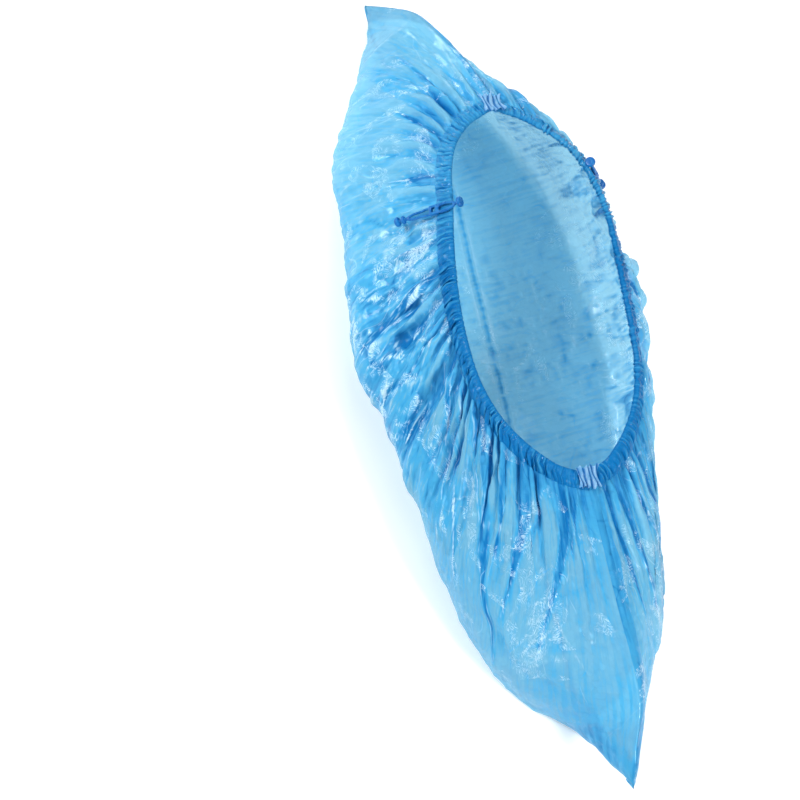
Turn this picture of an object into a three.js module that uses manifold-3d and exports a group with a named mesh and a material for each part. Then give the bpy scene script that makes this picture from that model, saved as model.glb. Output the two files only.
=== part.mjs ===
// A disposable film shoe cover in its worn form.
// It is a flat bag of thin film, folded under the sole and welded at the heel and the toe. An elastic band
// gathers its opening, a pleated tab closes each weld at the band, and a moulded clip sits on each side.
// Millimetres, +Z up, toe towards -Y. The origin is on the inside of the sole, in the middle.
import * as THREE from "three";
import { mergeVertices } from "three/addons/utils/BufferGeometryUtils.js";
import Module from "manifold-3d";

const wasm = await Module();
wasm.setup();

// Driving dimensions
const FILM_WALL = 1;
const BAND_RADIUS = 1.4;
const BAND_GAP = 0.5;
const SEAT_GAP = 0.3;
const MERGE_DISTANCE = 1e-4;

// How finely the film and the band are divided: along the bag, up each wall, around the band and its section
const STATIONS = 70;
const WALL_STEPS = 9;
const BAND_STEPS = 120;
const BAND_SIDES = 8;

// A table's rows as objects, one for each row, from the names of its columns
const table = (names, rows) => rows.map((row) => Object.fromEntries(names.map((name, k) => [name, row[k]])));

// Cross-sections of the bag, one row each, from the heel weld to the toe weld. keel is the fold under the
// sole, sole the half width that lies on the floor and how far its edge rises, belly the widest part with its
// middle and its two half widths, shoulder where each wall turns in, and rim the edge of the opening.
const SECTIONS = table(
  [
    ...["keelX", "keelY", "keelZ", "soleHalf", "soleRise"],
    ...["bellyX", "bellyLeft", "bellyRight", "bellyY", "bellyZ"],
    ...["shoulderLeft", "shoulderRight", "shoulderY", "shoulderZ", "rimHalf", "rimY", "rimZ"],
  ],
  [
    [-28, 221, 10, 1, 12, -13, 1, 1, 201, 36, 1, 1, 174, 51, 1, 138, 64],
    [-25, 203, 4, 16, 3, -11, 25, 9, 183, 28, 19, 9, 160, 52, 15.5, 130, 65.5],
    [-15, 176, 0, 30, 0.5, -5, 48, 22, 158, 26, 34, 24, 141, 55, 27, 118, 69],
    [-5, 146, -1, 40, 0, -2, 66, 40, 133, 25, 46, 38, 118, 56, 34.5, 103, 73],
    [0, 116, -1, 46, 0, 0, 70, 52, 107, 25, 51, 46, 96, 56, 38.5, 86, 75],
    [0, 84, -1, 50, 0, 0, 73, 60, 80, 25, 55, 52, 74, 54, 41.5, 69, 73],
    [0, 52, -1, 52, 0, 0, 78, 66, 53, 25, 58, 57, 52, 51, 43, 52, 69.5],
    [0, 20, -1, 52, 0, 0, 77, 67, 25, 25, 58, 57, 31, 49, 43.5, 35, 66.5],
    [0, -14, -1, 50, 0, 0, 68, 60, -5, 26, 55, 53, 8, 49, 43, 17.5, 65],
    [0, -48, -1, 48, 0, 0, 63, 53, -37, 26, 51, 48, -16, 49, 41, 0, 64.5],
    [0, -82, -1, 46, 0, 0, 59, 46, -70, 26, 46, 42, -42, 49, 35.5, -17, 65],
    [0, -112, -1, 40, 0, 1, 52, 41, -99, 25, 36, 35, -66, 50, 27, -31, 66],
    [0, -142, 0, 27, 1, 4, 40, 29, -124, 26, 22, 22, -86, 52, 15.5, -43, 67],
    [2, -167, 14, 8, 6, 9, 17, 8, -141, 37, 9, 9, -99, 54.5, 6, -48, 67.5],
    [4, -184, 31, 1, 4, 11, 1, 1, -146, 45, 1, 1, -103, 56, 1, -50, 68],
  ],
);

// Main folds of the slack film, one row each: the side (-1 is left), the place along the bag, the reach down
// the wall from the rim and the width along the bag, all three as shares, and how far it stands out.
const FOLDS = table(
  ["side", "at", "reach", "width", "height"],
  [
    [-1, 0.1, 0.7, 0.02, 4],
    [-1, 0.21, 0.7, 0.022, -2.5],
    [-1, 0.375, 0.72, 0.018, -6],
    [-1, 0.45, 0.7, 0.022, 4],
    [-1, 0.57, 0.7, 0.018, -4],
    [-1, 0.68, 0.7, 0.018, 4],
    [-1, 0.76, 0.7, 0.016, -3.5],
    [-1, 0.84, 0.65, 0.016, 3.5],
    [1, 0.14, 0.7, 0.02, 3],
    [1, 0.36, 0.7, 0.022, -5],
    [1, 0.48, 0.7, 0.022, 4],
    [1, 0.6, 0.7, 0.018, -4],
    [1, 0.72, 0.7, 0.018, 3.5],
    [1, 0.83, 0.65, 0.016, -3],
  ],
);

// A clip's outline, as places along it from the band and half widths, with the parts on it
const CLIP_OUTLINE = table(
  ["along", "half"],
  [
    [-26, 0.8],
    [-22, 0.9],
    [-19, 2.1],
    [0.5, 2.1],
    [4.5, 0.9],
    [6.5, 0.8],
  ],
);
const CLIP_HEADS = table(
  ["along", "radius", "length"],
  [
    [-26.6, 2.3, 2.4],
    [-23.4, 2, 2],
    [6.5, 2.5, 3.2],
  ],
);
const CLIP_SLOT = { low: -19, high: 0.5, half: 0.9 };
const CLIP_COLLAR = { along: -8.5, length: 3.4, half: 2.8, thickness: 2.6 };
const CLIP_THICKNESS = 1.6;
const HEAD_SIDES = 10;

// Where the clips sit: the edge of the film, the place along it as a share, how far the clip is turned on the
// film and how far its outer end is lifted off it, in degrees
const CLIPS = table(
  ["name", "side", "at", "turn", "lift"],
  [
    ["clip_left", -1, 0.3, 5, 4],
    ["clip_right", 1, 0.24, 0, 4],
  ],
);

// The pleated tab over each weld, where it crosses the band
const TAB = { pleats: 3, pleatWidth: 3.4, pleatDepth: 1.4, wall: 1, below: 5.5, above: 4 };

const finish = (color, roughness) => new THREE.MeshStandardMaterial({ color, roughness, metalness: 0 });
const FILM_BLUE = finish(0x5bb4ea, 0.35);
const BAND_BLUE = finish(0x1f86cf, 0.6);
const CLIP_BLUE = finish(0x0f66b4, 0.4);
const TAB_BLUE = finish(0x9cc4ea, 0.4);

const between = (a, b) => a.clone().add(b).multiplyScalar(0.5);
const towards = (from, to) => new THREE.Vector3().subVectors(to, from).normalize();

// The guide points of one cross-section, from the left rim under the sole to the right rim
function guidePoints(row) {
  const keel = new THREE.Vector3(row.keelX, row.keelY, row.keelZ);
  const wall = (side, belly, shoulder) => [
    new THREE.Vector3(
      (row.keelX + row.bellyX) / 2 + side * row.soleHalf,
      THREE.MathUtils.lerp(row.keelY, row.bellyY, 0.4),
      row.keelZ + row.soleRise,
    ),
    new THREE.Vector3(row.bellyX + side * belly, row.bellyY, row.bellyZ),
    new THREE.Vector3(row.bellyX / 2 + side * shoulder, row.shoulderY, row.shoulderZ),
    new THREE.Vector3(side * row.rimHalf, row.rimY, row.rimZ),
  ];
  const left = wall(-1, row.bellyLeft, row.shoulderLeft);
  return [...left.reverse(), keel, ...wall(1, row.bellyRight, row.shoulderRight)];
}

// The floor flattens the film under the sole
const onFloor = ({ x, y, z }) => new THREE.Vector3(x, y, Math.max(z, -FILM_WALL));

// The smooth outside of the bag as a grid of points: one row a station, from the left rim to the right rim
function smoothGrid() {
  const sections = SECTIONS.map(guidePoints);
  const guides = sections[0].map((_, k) => new THREE.CatmullRomCurve3(sections.map((points) => points[k])));
  return Array.from({ length: STATIONS + 1 }, (_, i) => {
    const across = new THREE.CatmullRomCurve3(guides.map((guide) => guide.getPoint(i / STATIONS)));
    return across.getPoints(2 * WALL_STEPS).map(onFloor);
  });
}

// The direction out of the film at each point of a grid
function gridNormals(grid) {
  const last = grid[0].length - 1;
  return grid.map((row, i) =>
    row.map((_, j) => {
      const along = towards(grid[Math.max(i - 1, 0)][j], grid[Math.min(i + 1, STATIONS)][j]);
      const across = towards(row[Math.max(j - 1, 0)], row[Math.min(j + 1, last)]);
      return across.cross(along).normalize();
    }),
  );
}

// How far the main folds push the film out at a place along the bag and up one wall
function foldHeight(side, at, share) {
  return FOLDS.filter((fold) => fold.side === side).reduce((sum, fold) => {
    const climb = (share - (1 - fold.reach)) / fold.reach;
    if (climb <= 0) return sum;
    const nearness = Math.exp(-(((at - fold.at) / fold.width) ** 2));
    return sum + fold.height * nearness * Math.sin(Math.PI * climb);
  }, 0);
}

// The outside of the bag with its main folds
function foldedGrid() {
  const smooth = smoothGrid();
  const normals = gridNormals(smooth);
  return smooth.map((row, i) =>
    row.map((point, j) => {
      const side = Math.sign(j - WALL_STEPS);
      const share = Math.abs(j - WALL_STEPS) / WALL_STEPS;
      return onFloor(point.clone().addScaledVector(normals[i][j], foldHeight(side, i / STATIONS, share)));
    }),
  );
}

// The inside of the film: one wall in from the outside, and closed on the middle line at both welds
function insideGrid(outside) {
  const normals = gridNormals(outside);
  const last = outside[0].length - 1;
  return outside.map((row, i) => {
    const inner = row.map((point, j) => point.clone().addScaledVector(normals[i][j], -FILM_WALL));
    const welded = i <= 1 || i >= STATIONS - 1;
    return welded ? inner.map((point, j) => between(point, inner[last - j])) : inner;
  });
}

const quad = (a, b, c, d) => [
  [a, b, c],
  [a, c, d],
];

// The solid end of the film at a weld: its end face, and the small faces that close its top to the inside
function weldTriangles(edge, next, closing) {
  const last = edge.length - 1;
  const triangles = [
    [edge[0], next[0], closing],
    [edge[0], closing, edge[last]],
    [edge[last], closing, next[last]],
  ];
  for (let j = 0; j < WALL_STEPS; j++) {
    triangles.push([edge[j], edge[last - j], edge[j + 1]]);
    if (j + 1 < WALL_STEPS) triangles.push([edge[j + 1], edge[last - j], edge[last - j - 1]]);
  }
  return triangles;
}

// The film as one closed wall: outside, inside, the edge of the opening and the solid weld at each end
function filmGeometry(outside, inside) {
  const last = outside[0].length - 1;
  const triangles = [];
  for (let i = 0; i < STATIONS; i++) {
    const [here, next, innerHere, innerNext] = [outside[i], outside[i + 1], inside[i], inside[i + 1]];
    const hollow = i >= 1 && i < STATIONS - 1;
    for (let j = 0; j < last; j++) {
      triangles.push(...quad(here[j], here[j + 1], next[j + 1], next[j]));
      if (hollow) triangles.push(...quad(innerHere[j], innerNext[j], innerNext[j + 1], innerHere[j + 1]));
    }
    if (!hollow) continue;
    triangles.push(...quad(here[0], next[0], innerNext[0], innerHere[0]));
    triangles.push(...quad(here[last], innerHere[last], innerNext[last], next[last]));
  }
  triangles.push(...weldTriangles(outside[0], outside[1], inside[1][0]));
  const toeEnd = weldTriangles(outside[STATIONS], outside[STATIONS - 1], inside[STATIONS - 1][0]);
  triangles.push(...toeEnd.map(([a, b, c]) => [a, c, b]));
  return mergeVertices(new THREE.BufferGeometry().setFromPoints(triangles.flat()), MERGE_DISTANCE);
}

// A place on the film's edge, with the directions along the edge, up out of the wall and out of the film.
// At a weld it is midway between the two walls.
function rimFrame(outside, inside, i, side) {
  const last = outside[0].length - 1;
  const j = side < 0 ? 0 : last;
  const step = -side;
  const atWeld = i === 0 || i === STATIONS;
  const at = (grid, row, column) =>
    atWeld ? between(grid[row][column], grid[row][last - column]) : grid[row][column];
  const along = atWeld
    ? towards(outside[i][last], outside[i][0]).multiplyScalar(i === 0 ? 1 : -1)
    : towards(outside[i - 1][j], outside[i + 1][j]).multiplyScalar(-side);
  const up = towards(at(outside, i, j + step), at(outside, i, j));
  up.addScaledVector(along, -up.dot(along)).normalize();
  const out = new THREE.Vector3().crossVectors(along, up);
  return { place: between(at(outside, i, j), at(inside, i, j)), along, up, out };
}

// The line of the elastic band, just clear of the film's edge all round
function bandCurve(outside, inside) {
  const place = (i, side) => {
    const frame = rimFrame(outside, inside, i, side);
    return frame.place.addScaledVector(frame.up, BAND_GAP + BAND_RADIUS);
  };
  const stations = Array.from({ length: STATIONS - 1 }, (_, k) => k + 1);
  const left = stations.map((i) => place(i, -1));
  const right = stations.map((i) => place(i, 1));
  return new THREE.CatmullRomCurve3([...left, ...right.reverse()], true);
}

// A three.js shape as a solid that can be joined and cut, and back
function solidOf(geometry) {
  const bare = geometry.clone().deleteAttribute("normal").deleteAttribute("uv");
  const merged = mergeVertices(bare, MERGE_DISTANCE);
  const vertProperties = merged.getAttribute("position").array;
  return new wasm.Manifold(
    new wasm.Mesh({ numProp: 3, vertProperties, triVerts: new Uint32Array(merged.index.array) }),
  );
}

function geometryOf(solid) {
  const { vertProperties, triVerts } = solid.getMesh();
  return new THREE.BufferGeometry()
    .setAttribute("position", new THREE.BufferAttribute(vertProperties, 3))
    .setIndex(new THREE.BufferAttribute(triVerts, 1));
}

// A clip along +Y with its thickness along Z: a slotted strip, a collar across it and rounded heads
function clipGeometry() {
  const right = CLIP_OUTLINE.map(({ along, half }) => new THREE.Vector2(half, along));
  const left = CLIP_OUTLINE.map(({ along, half }) => new THREE.Vector2(-half, along));
  const outline = new THREE.Shape([...right, ...left.reverse()]);
  const strip = new THREE.ExtrudeGeometry(outline, { depth: CLIP_THICKNESS, bevelEnabled: false });
  strip.translate(0, 0, -CLIP_THICKNESS / 2);
  const slot = new THREE.BoxGeometry(2 * CLIP_SLOT.half, CLIP_SLOT.high - CLIP_SLOT.low, 2 * CLIP_THICKNESS);
  slot.translate(0, (CLIP_SLOT.low + CLIP_SLOT.high) / 2, 0);
  const collar = new THREE.BoxGeometry(2 * CLIP_COLLAR.half, CLIP_COLLAR.length, CLIP_COLLAR.thickness);
  collar.translate(0, CLIP_COLLAR.along, 0);
  const heads = CLIP_HEADS.map(({ along, radius, length }) => {
    const head = new THREE.SphereGeometry(1, HEAD_SIDES, HEAD_SIDES / 2);
    return head.scale(radius, length / 2, radius).translate(0, along, 0);
  });
  const slotted = solidOf(strip).subtract(solidOf(slot));
  return geometryOf([collar, ...heads].reduce((sum, piece) => sum.add(solidOf(piece)), slotted));
}

// A pleated tab along +Y with its folds standing up along Z: a zigzag of film, extruded up the wall
function tabGeometry() {
  const turns = 2 * TAB.pleats;
  const zigzag = (height) =>
    Array.from({ length: turns + 1 }, (_, k) => {
      const across = (k / turns - 0.5) * TAB.pleats * TAB.pleatWidth;
      return new THREE.Vector2(across, (k % 2) * TAB.pleatDepth + height);
    });
  const outline = new THREE.Shape([...zigzag(0), ...zigzag(TAB.wall).reverse()]);
  const tab = new THREE.ExtrudeGeometry(outline, { depth: TAB.below + TAB.above, bevelEnabled: false });
  return tab.rotateX(Math.PI / 2).translate(0, TAB.above, 0);
}

const shoeCover = new THREE.Group();

function namedMesh(name, geometry, material) {
  const piece = new THREE.Mesh(geometry, material);
  piece.name = name;
  return piece;
}

// A seat on the middle of the band, with X along the edge, Y up out of the wall and Z out of the film
function bandSeat({ place, along, up, out }) {
  const seat = new THREE.Group();
  seat.quaternion.setFromRotationMatrix(new THREE.Matrix4().makeBasis(along, up, out));
  seat.position.copy(place).addScaledVector(up, BAND_GAP + BAND_RADIUS);
  shoeCover.add(seat);
  return seat;
}

const outside = foldedGrid();
const inside = insideGrid(outside);
const band = new THREE.TubeGeometry(bandCurve(outside, inside), BAND_STEPS, BAND_RADIUS, BAND_SIDES, true);
shoeCover.add(namedMesh("film_bag", filmGeometry(outside, inside), FILM_BLUE));
shoeCover.add(namedMesh("elastic_band", band, BAND_BLUE));

for (const { name, side, at, turn, lift } of CLIPS) {
  const seat = bandSeat(rimFrame(outside, inside, Math.round(at * STATIONS), side));
  const clip = namedMesh(name, clipGeometry(), CLIP_BLUE);
  clip.position.z = BAND_RADIUS + SEAT_GAP + CLIP_THICKNESS / 2;
  clip.rotation.set(THREE.MathUtils.degToRad(-lift), 0, THREE.MathUtils.degToRad(turn));
  seat.add(clip);
}

for (const [name, i] of [
  ["heel_tab", 0],
  ["toe_tab", STATIONS],
]) {
  const tab = namedMesh(name, tabGeometry(), TAB_BLUE);
  tab.position.z = BAND_RADIUS + SEAT_GAP;
  bandSeat(rimFrame(outside, inside, i, -1)).add(tab);
}

export default shoeCover;
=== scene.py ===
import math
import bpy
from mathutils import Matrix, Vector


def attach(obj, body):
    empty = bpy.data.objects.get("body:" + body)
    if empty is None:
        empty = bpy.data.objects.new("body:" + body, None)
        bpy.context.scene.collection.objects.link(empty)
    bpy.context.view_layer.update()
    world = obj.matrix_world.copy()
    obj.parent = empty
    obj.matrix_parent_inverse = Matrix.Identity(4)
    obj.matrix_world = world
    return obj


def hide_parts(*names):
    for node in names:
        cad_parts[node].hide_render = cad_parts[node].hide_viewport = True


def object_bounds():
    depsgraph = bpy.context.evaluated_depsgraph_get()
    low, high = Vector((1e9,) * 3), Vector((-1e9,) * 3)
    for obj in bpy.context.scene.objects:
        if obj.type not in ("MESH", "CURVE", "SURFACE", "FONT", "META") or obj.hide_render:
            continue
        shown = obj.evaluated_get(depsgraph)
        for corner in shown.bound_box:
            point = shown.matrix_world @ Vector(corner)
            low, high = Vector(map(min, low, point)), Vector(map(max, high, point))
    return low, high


bl_info = {
    "name": "Film shoe cover",
    "version": (1, 0, 0),
    "blender": (4, 5, 0),
    "location": "View3D > Sidebar > Shoe cover",
    "description": "Builds the gathered film, elastic, tabs and clips of a shoe cover around its CAD frame",
    "category": "Add Mesh",
}

from contextlib import contextmanager

import bmesh
import bpy
import numpy as np
from mathutils import Matrix, Vector

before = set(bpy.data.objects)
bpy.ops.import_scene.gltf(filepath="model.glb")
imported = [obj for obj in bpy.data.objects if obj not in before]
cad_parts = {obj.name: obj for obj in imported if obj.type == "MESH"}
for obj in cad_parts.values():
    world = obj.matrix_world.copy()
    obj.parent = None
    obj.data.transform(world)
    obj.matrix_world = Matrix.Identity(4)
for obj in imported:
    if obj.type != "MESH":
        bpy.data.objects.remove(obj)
CAD_BOX = [list(corner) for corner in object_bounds()]

MM = 0.001
SHEET_RNG_SEED = 7

# Cross-sections of the bag in millimetres, from the heel weld to the toe weld, as in the CAD model:
# the keel under the sole, the half width and rise of the sole's edge, the belly's middle, half widths
# and height, the shoulder's half widths and height, and the rim of the opening.
SECTION_NAMES = (
    "keel_x keel_y keel_z sole_half sole_rise belly_x belly_left belly_right belly_y belly_z "
    "shoulder_left shoulder_right shoulder_y shoulder_z rim_half rim_y rim_z"
).split()
SECTION_ROWS = np.array([
    [-28, 221, 10, 1, 12, -13, 1, 1, 201, 36, 1, 1, 174, 51, 1, 138, 64],
    [-25, 203, 4, 16, 3, -11, 25, 9, 183, 28, 19, 9, 160, 52, 15.5, 130, 65.5],
    [-15, 176, 0, 30, 0.5, -5, 48, 22, 158, 26, 34, 24, 141, 55, 27, 118, 69],
    [-5, 146, -1, 40, 0, -2, 66, 40, 133, 25, 46, 38, 118, 56, 34.5, 103, 73],
    [0, 116, -1, 46, 0, 0, 70, 52, 107, 25, 51, 46, 96, 56, 38.5, 86, 75],
    [0, 84, -1, 50, 0, 0, 73, 60, 80, 25, 55, 52, 74, 54, 41.5, 69, 73],
    [0, 52, -1, 52, 0, 0, 78, 66, 53, 25, 58, 57, 52, 51, 43, 52, 69.5],
    [0, 20, -1, 52, 0, 0, 77, 67, 25, 25, 58, 57, 31, 49, 43.5, 35, 66.5],
    [0, -14, -1, 50, 0, 0, 68, 60, -5, 26, 55, 53, 8, 49, 43, 17.5, 65],
    [0, -48, -1, 48, 0, 0, 63, 53, -37, 26, 51, 48, -16, 49, 41, 0, 64.5],
    [0, -82, -1, 46, 0, 0, 59, 46, -70, 26, 46, 42, -42, 49, 35.5, -17, 65],
    [0, -112, -1, 40, 0, 1, 52, 41, -99, 25, 36, 35, -66, 50, 27, -31, 66],
    [0, -142, 0, 27, 1, 4, 40, 29, -124, 26, 22, 22, -86, 52, 15.5, -43, 67],
    [2, -167, 14, 8, 6, 9, 17, 8, -141, 37, 9, 9, -99, 54.5, 6, -48, 67.5],
    [4, -184, 31, 1, 4, 11, 1, 1, -146, 45, 1, 1, -103, 56, 1, -50, 68],
], float)
SECTION = dict(zip(SECTION_NAMES, SECTION_ROWS.T))

# The sheet's grid for the simulation: stations along the bag and steps up each wall, finer near the rim
STATIONS = 240
WALL_STEPS = 35
RIM_GRADING = 1.25
SOLE_LEVEL = -0.3
# Points along each guide of the smooth bag, and up each half of its cross-sections
GUIDE_POINTS, PROFILE_POINTS = 1001, 80
# Share of the way from the keel to the belly, along the bag, at which the sole's edge lies
SOLE_EDGE = 0.4
# Shares of the bag's length over which the film's height evens out, and over which gathers fade at a weld
HEIGHT_BLUR, WELD_SHARE = 0.17, 1 / 40
# Depths in millimetres between which the film's length changes from the cut's to the form's with its spare
RUN_CHANGE, SPARE_RUN = (40, 70), 1.008
# Least distance between stations in millimetres, and most film to a length, that count when it gathers
LEAST_SPACING, MOST_GATHER = 0.3, 2.2
# Gathers on each side of the opening, from the hem's ruffles to long loose folds: waves, the depths in
# millimetres between which they run, how much deeper each of these lies at the front as a share of itself,
# and their height as a share of what takes up the film's spare length, along the bag and added at the front
GATHERS = (
    (60, 0, 14, 0, 0, 0.42, 0), (30, 7, 28, 0, 1.9, 0.85, 0), (15, 20, 52, 1.6, 0.4, 0.66, 0.05),
    (9, 42, 100, 0.6, 0, 0.34, 0.05),
)
# The first of the gathers that are loose folds, and the shares along the bag between which the front begins
LOOSE_FOLDS = 2
FRONT = 0.58, 0.76
# Flat pleats that run from the hem towards the sole: the wall (0 left, 1 right), the share along the bag at
# the rim and further down, and how far down they reach and how wide they are in millimetres
PLEATS = (
    (0, 0.600, 0.690, 60, 3.0), (0, 0.655, 0.745, 84, 2.6), (0, 0.705, 0.770, 52, 2.0),
    (0, 0.757, 0.825, 112, 4.6), (0, 0.805, 0.812, 60, 2.2), (0, 0.865, 0.830, 84, 3.4),
    (0, 0.905, 0.862, 46, 2.0), (0, 0.945, 0.884, 90, 3.8), (0, 0.972, 0.945, 40, 1.8),
    (1, 0.972, 0.944, 72, 2.6), (1, 0.930, 0.905, 80, 3.2), (1, 0.885, 0.872, 50, 2.0),
    (1, 0.835, 0.850, 74, 2.8), (1, 0.765, 0.800, 60, 2.2), (1, 0.700, 0.750, 72, 3.0),
    (0, 0.520, 0.545, 44, 2.6), (0, 0.445, 0.465, 62, 4.0), (0, 0.385, 0.380, 34, 2.4),
    (0, 0.250, 0.262, 36, 1.4), (0, 0.165, 0.150, 40, 2.6), (0, 0.085, 0.060, 62, 3.0),
    (1, 0.600, 0.640, 50, 2.6), (1, 0.480, 0.500, 60, 3.4), (1, 0.350, 0.345, 46, 2.6),
    (1, 0.240, 0.225, 52, 3.0), (1, 0.120, 0.100, 56, 3.0), (0, 0.475, 0.500, 96, 17),
    (0, 0.570, 0.610, 92, 13), (0, 0.300, 0.320, 70, 10), (0, 0.120, 0.090, 90, 11),
    (1, 0.540, 0.560, 80, 14), (1, 0.300, 0.290, 80, 12),
)
# A fold at least this wide lies loose, and shows as this share of a flat pleat
WIDE_PLEAT, WIDE_SHARE = 6, 0.42
# How far the pleats stand up in millimetres
PLEAT_HEIGHT = 0.4
# Zones where the film looks deeper, where it lies double or crowded and as painted shade where it tucks under
# in folds:
# the wall, the share along the bag, the depth below the rim, how far it reaches along and up in millimetres,
# and how deep it looks
DOUBLE_AND_SHADED_ZONES = (
    (0, 0.490, 42, 62, 40, 0.66), (0, 0.560, 58, 48, 34, 0.62), (0, 0.655, 50, 34, 32, 0.48),
    (0, 0.330, 66, 40, 24, 0.20), (0, 0.925, 108, 40, 26, 0.26), (0, 0.985, 150, 36, 44, 0.56),
    (1, 0.985, 150, 36, 44, 0.50), (1, 0.600, 55, 50, 30, 0.30), (1, 0.420, 50, 40, 30, 0.30),
    (0, 0.060, 120, 30, 30, 0.22), (1, 0.060, 120, 30, 30, 0.30), (1, 0.200, 60, 40, 26, 0.22),
)
# Long creases that stay in the film: the wall, the share along the bag and the depth below the rim in
# millimetres at both ends, and the height, which is below zero for a crease that is pressed in
CREASES = (
    (0, 0.085, 80, 0.027, 73, 1.0), (0, 0.075, 68, 0.046, 54, 0.7), (0, 0.033, 59, 0.056, 25, -0.9),
    (0, 0.081, 47, 0.100, 15, -0.8), (0, 0.144, 48, 0.167, 31, 0.7), (0, 0.227, 42, 0.208, 17, -1.0),
    (0, 0.242, 30, 0.288, 6, -0.9), (0, 0.260, 42, 0.298, 32, -0.8), (0, 0.300, 51, 0.350, 24, -0.9),
    (0, 0.335, 46, 0.354, 30, -0.7), (0, 0.412, 50, 0.446, 24, 0.9), (0, 0.452, 53, 0.521, 20, -1.0),
    (0, 0.490, 50, 0.550, 13, 1.0), (0, 0.529, 51, 0.558, 21, -0.9), (0, 0.896, 62, 0.950, 92, 0.6),
    (0, 0.867, 85, 0.969, 78, -0.6), (1, 0.050, 90, 0.085, 40, -0.9), (1, 0.100, 60, 0.150, 25, 0.8),
    (1, 0.170, 75, 0.205, 25, -0.9), (1, 0.250, 50, 0.300, 20, 0.9), (1, 0.330, 62, 0.345, 18, -0.9),
    (1, 0.410, 55, 0.450, 15, 0.9), (1, 0.520, 60, 0.560, 25, -0.9), (1, 0.640, 60, 0.690, 30, 0.7),
    (1, 0.880, 60, 0.930, 95, 0.6),
)
# How far a long crease spreads to each side, and the length of the bag that its shares are measured on
CREASE_SPREAD, CREASE_SPAN = 2.4, 320
# Length of the film between the welds, which is a little more than the flat bag's length after it stretches
CUT_RUN = 425.0
# Tables along the bag: shares of its length from the heel, and the value at each. They hold the film's height
# over the smooth wall's, how freely its folds hang, the depth in millimetres that the folds reach, how far it
# crumples, the room that its bulges have outward and inward in millimetres, how strongly its leaning creases
# show, how deep its colour is at the hem from its layers, with painted shade at the front, and how much of it
# is crinkled
WALL_SLACK = (0, 0.1, 0.3, 0.5, 0.65, 0.8, 0.92, 1), (1.03, 1.05, 1.06, 1.055, 1.02, 0.99, 0.985, 1)
LOOSENESS = (0, 0.1, 0.3, 0.42, 1), (0.4, 0.45, 0.55, 1, 1)
FOLD_REACH = (0, 0.5, 0.65, 0.85, 1), (58, 58, 50, 72, 72)
CRUMPLING = (0, 0.12, 0.3, 0.5, 0.62, 0.75, 1), (0.6, 1, 1, 1, 0.6, 0.3, 0.2)
ROOM_OUT = (0, 0.1, 0.4, 0.6, 0.75, 1), (2.5, 3.5, 3.2, 2.0, 1.6, 1.6)
ROOM_IN = (0, 0.5, 0.7, 1), (9, 7, 2, 2)
LEANING = (0, 0.15, 0.36, 0.45, 0.6, 0.72, 1), (0.5, 0.6, 0.6, 1.1, 1.1, 0.5, 0.25)
HEM_LAYERS_AND_SHADE = (0, 0.4, 0.6, 1), (0.36, 0.5, 0.86, 0.8)
CRINKLING = (0, 0.15, 0.38, 0.5, 0.62, 0.75, 1), (0.8, 1, 1, 0.7, 0.7, 0.75, 0.5)
# Crumples in flat facets: heights and sizes in millimetres, and seeds. The first two start the simulation, on
# the walls and on the sole. The next two are the creases that stay, and the third says where the small ones
# lie thicker. The last breaks up the edges of the deep zones, in shares of their reach
START_CRUMPLE, SOLE_CRUMPLE = ((1.9, 24, 11), (0.8, 11, 12)), ((0.8, 30, 13), (0.5, 13, 14))
LARGE_CREASES, SMALL_CREASES = ((1.5, 19, 23), (0.95, 9.5, 21)), ((0.3, 4.6, 22),)
CREASE_PATCHES = (1, 34, 31), (0.5, 15, 32)
ZONE_EDGE = (0.3, 17, 81), (0.15, 7, 82)
# Creases that lean down from the hem: height, stretch along the bag, lean, stretch up the wall, size and seed
LEANING_CREASES = (1.25, 2.3, 0.9, 0.6, 15, 24), (0.6, 2.6, 0.5, 0.7, 8, 25)
# Depths between which the film at the rim goes over into the wall, the room that it has inward and outward at
# the rim and what each millimetre of depth adds to it, and the share of a bulge past it that is pressed back
NEAR_RIM, RIM_ROOM_IN, RIM_ROOM_OUT, PRESSED_BACK = (30, 55), (1.0, 0.1), (1.4, 0.07), 0.8
# How deep a fold is: stations over which the film is averaged, and how much a millimetre below that counts
FOLD_VIEWS = ((7, 0.3), (22, 0.16))
# Depths in millimetres between which the hem's deeper colour and painted shade fade, and how gathered the
# taut front is at least
HEM_FADE, TAUT_GATHER = (4, 36), 0.12
# Crinkles over the toes: the share along the bag, how far they spread along it, and how many are added
TOE_CRINKLE, TOE_SPREAD, TOE_CRINKLING = 0.9, 0.06, 0.75
# Depth of the fold under the sole, how far it spreads, and the finished film's lowest level, in millimetres
KEEL_DEPTH, KEEL_SPREAD, LOWEST = 0.9, 1.8, -0.9
# Points lower than this lie on the sole, within these distances from the keel: those that are held while the
# film settles, and those that start with the sole's crumples
ON_SOLE, HELD_SOLE, CRUMPLED_SOLE = 0.4, 38, 45
# The simulation works at ten times the object's size, where Blender's cloth settles best
SIM_SCALE = 10 * MM
SIM_FRAMES = 16
# The film as a cloth, and the gap that it keeps from the form inside it, in the simulation's units
CLOTH = {
    "quality": 6, "mass": 0.02, "air_damping": 3, "tension_stiffness": 60, "compression_stiffness": 60,
    "shear_stiffness": 30, "bending_stiffness": 0.02, "tension_damping": 10, "compression_damping": 10,
    "shear_damping": 10, "bending_damping": 0.2, "bending_model": "ANGULAR",
}
CLOTH_GAP = 0.006
# A foot form that holds the film out while it settles: its length, half width and height in millimetres
FORM_ROWS = np.array([
    [-137, 11, 20], [-130, 26, 33], [-115, 38, 43], [-95, 44, 48], [-60, 46, 53], [-20, 44, 56],
    [20, 40, 58], [60, 36, 60], [100, 33, 60], [122, 27, 58], [134, 16, 56],
], float)

# How far a clip and a tab reach above the middle of the elastic, in millimetres
CLIP_ABOVE, TAB_ABOVE = 8.1, 4.0
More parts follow.
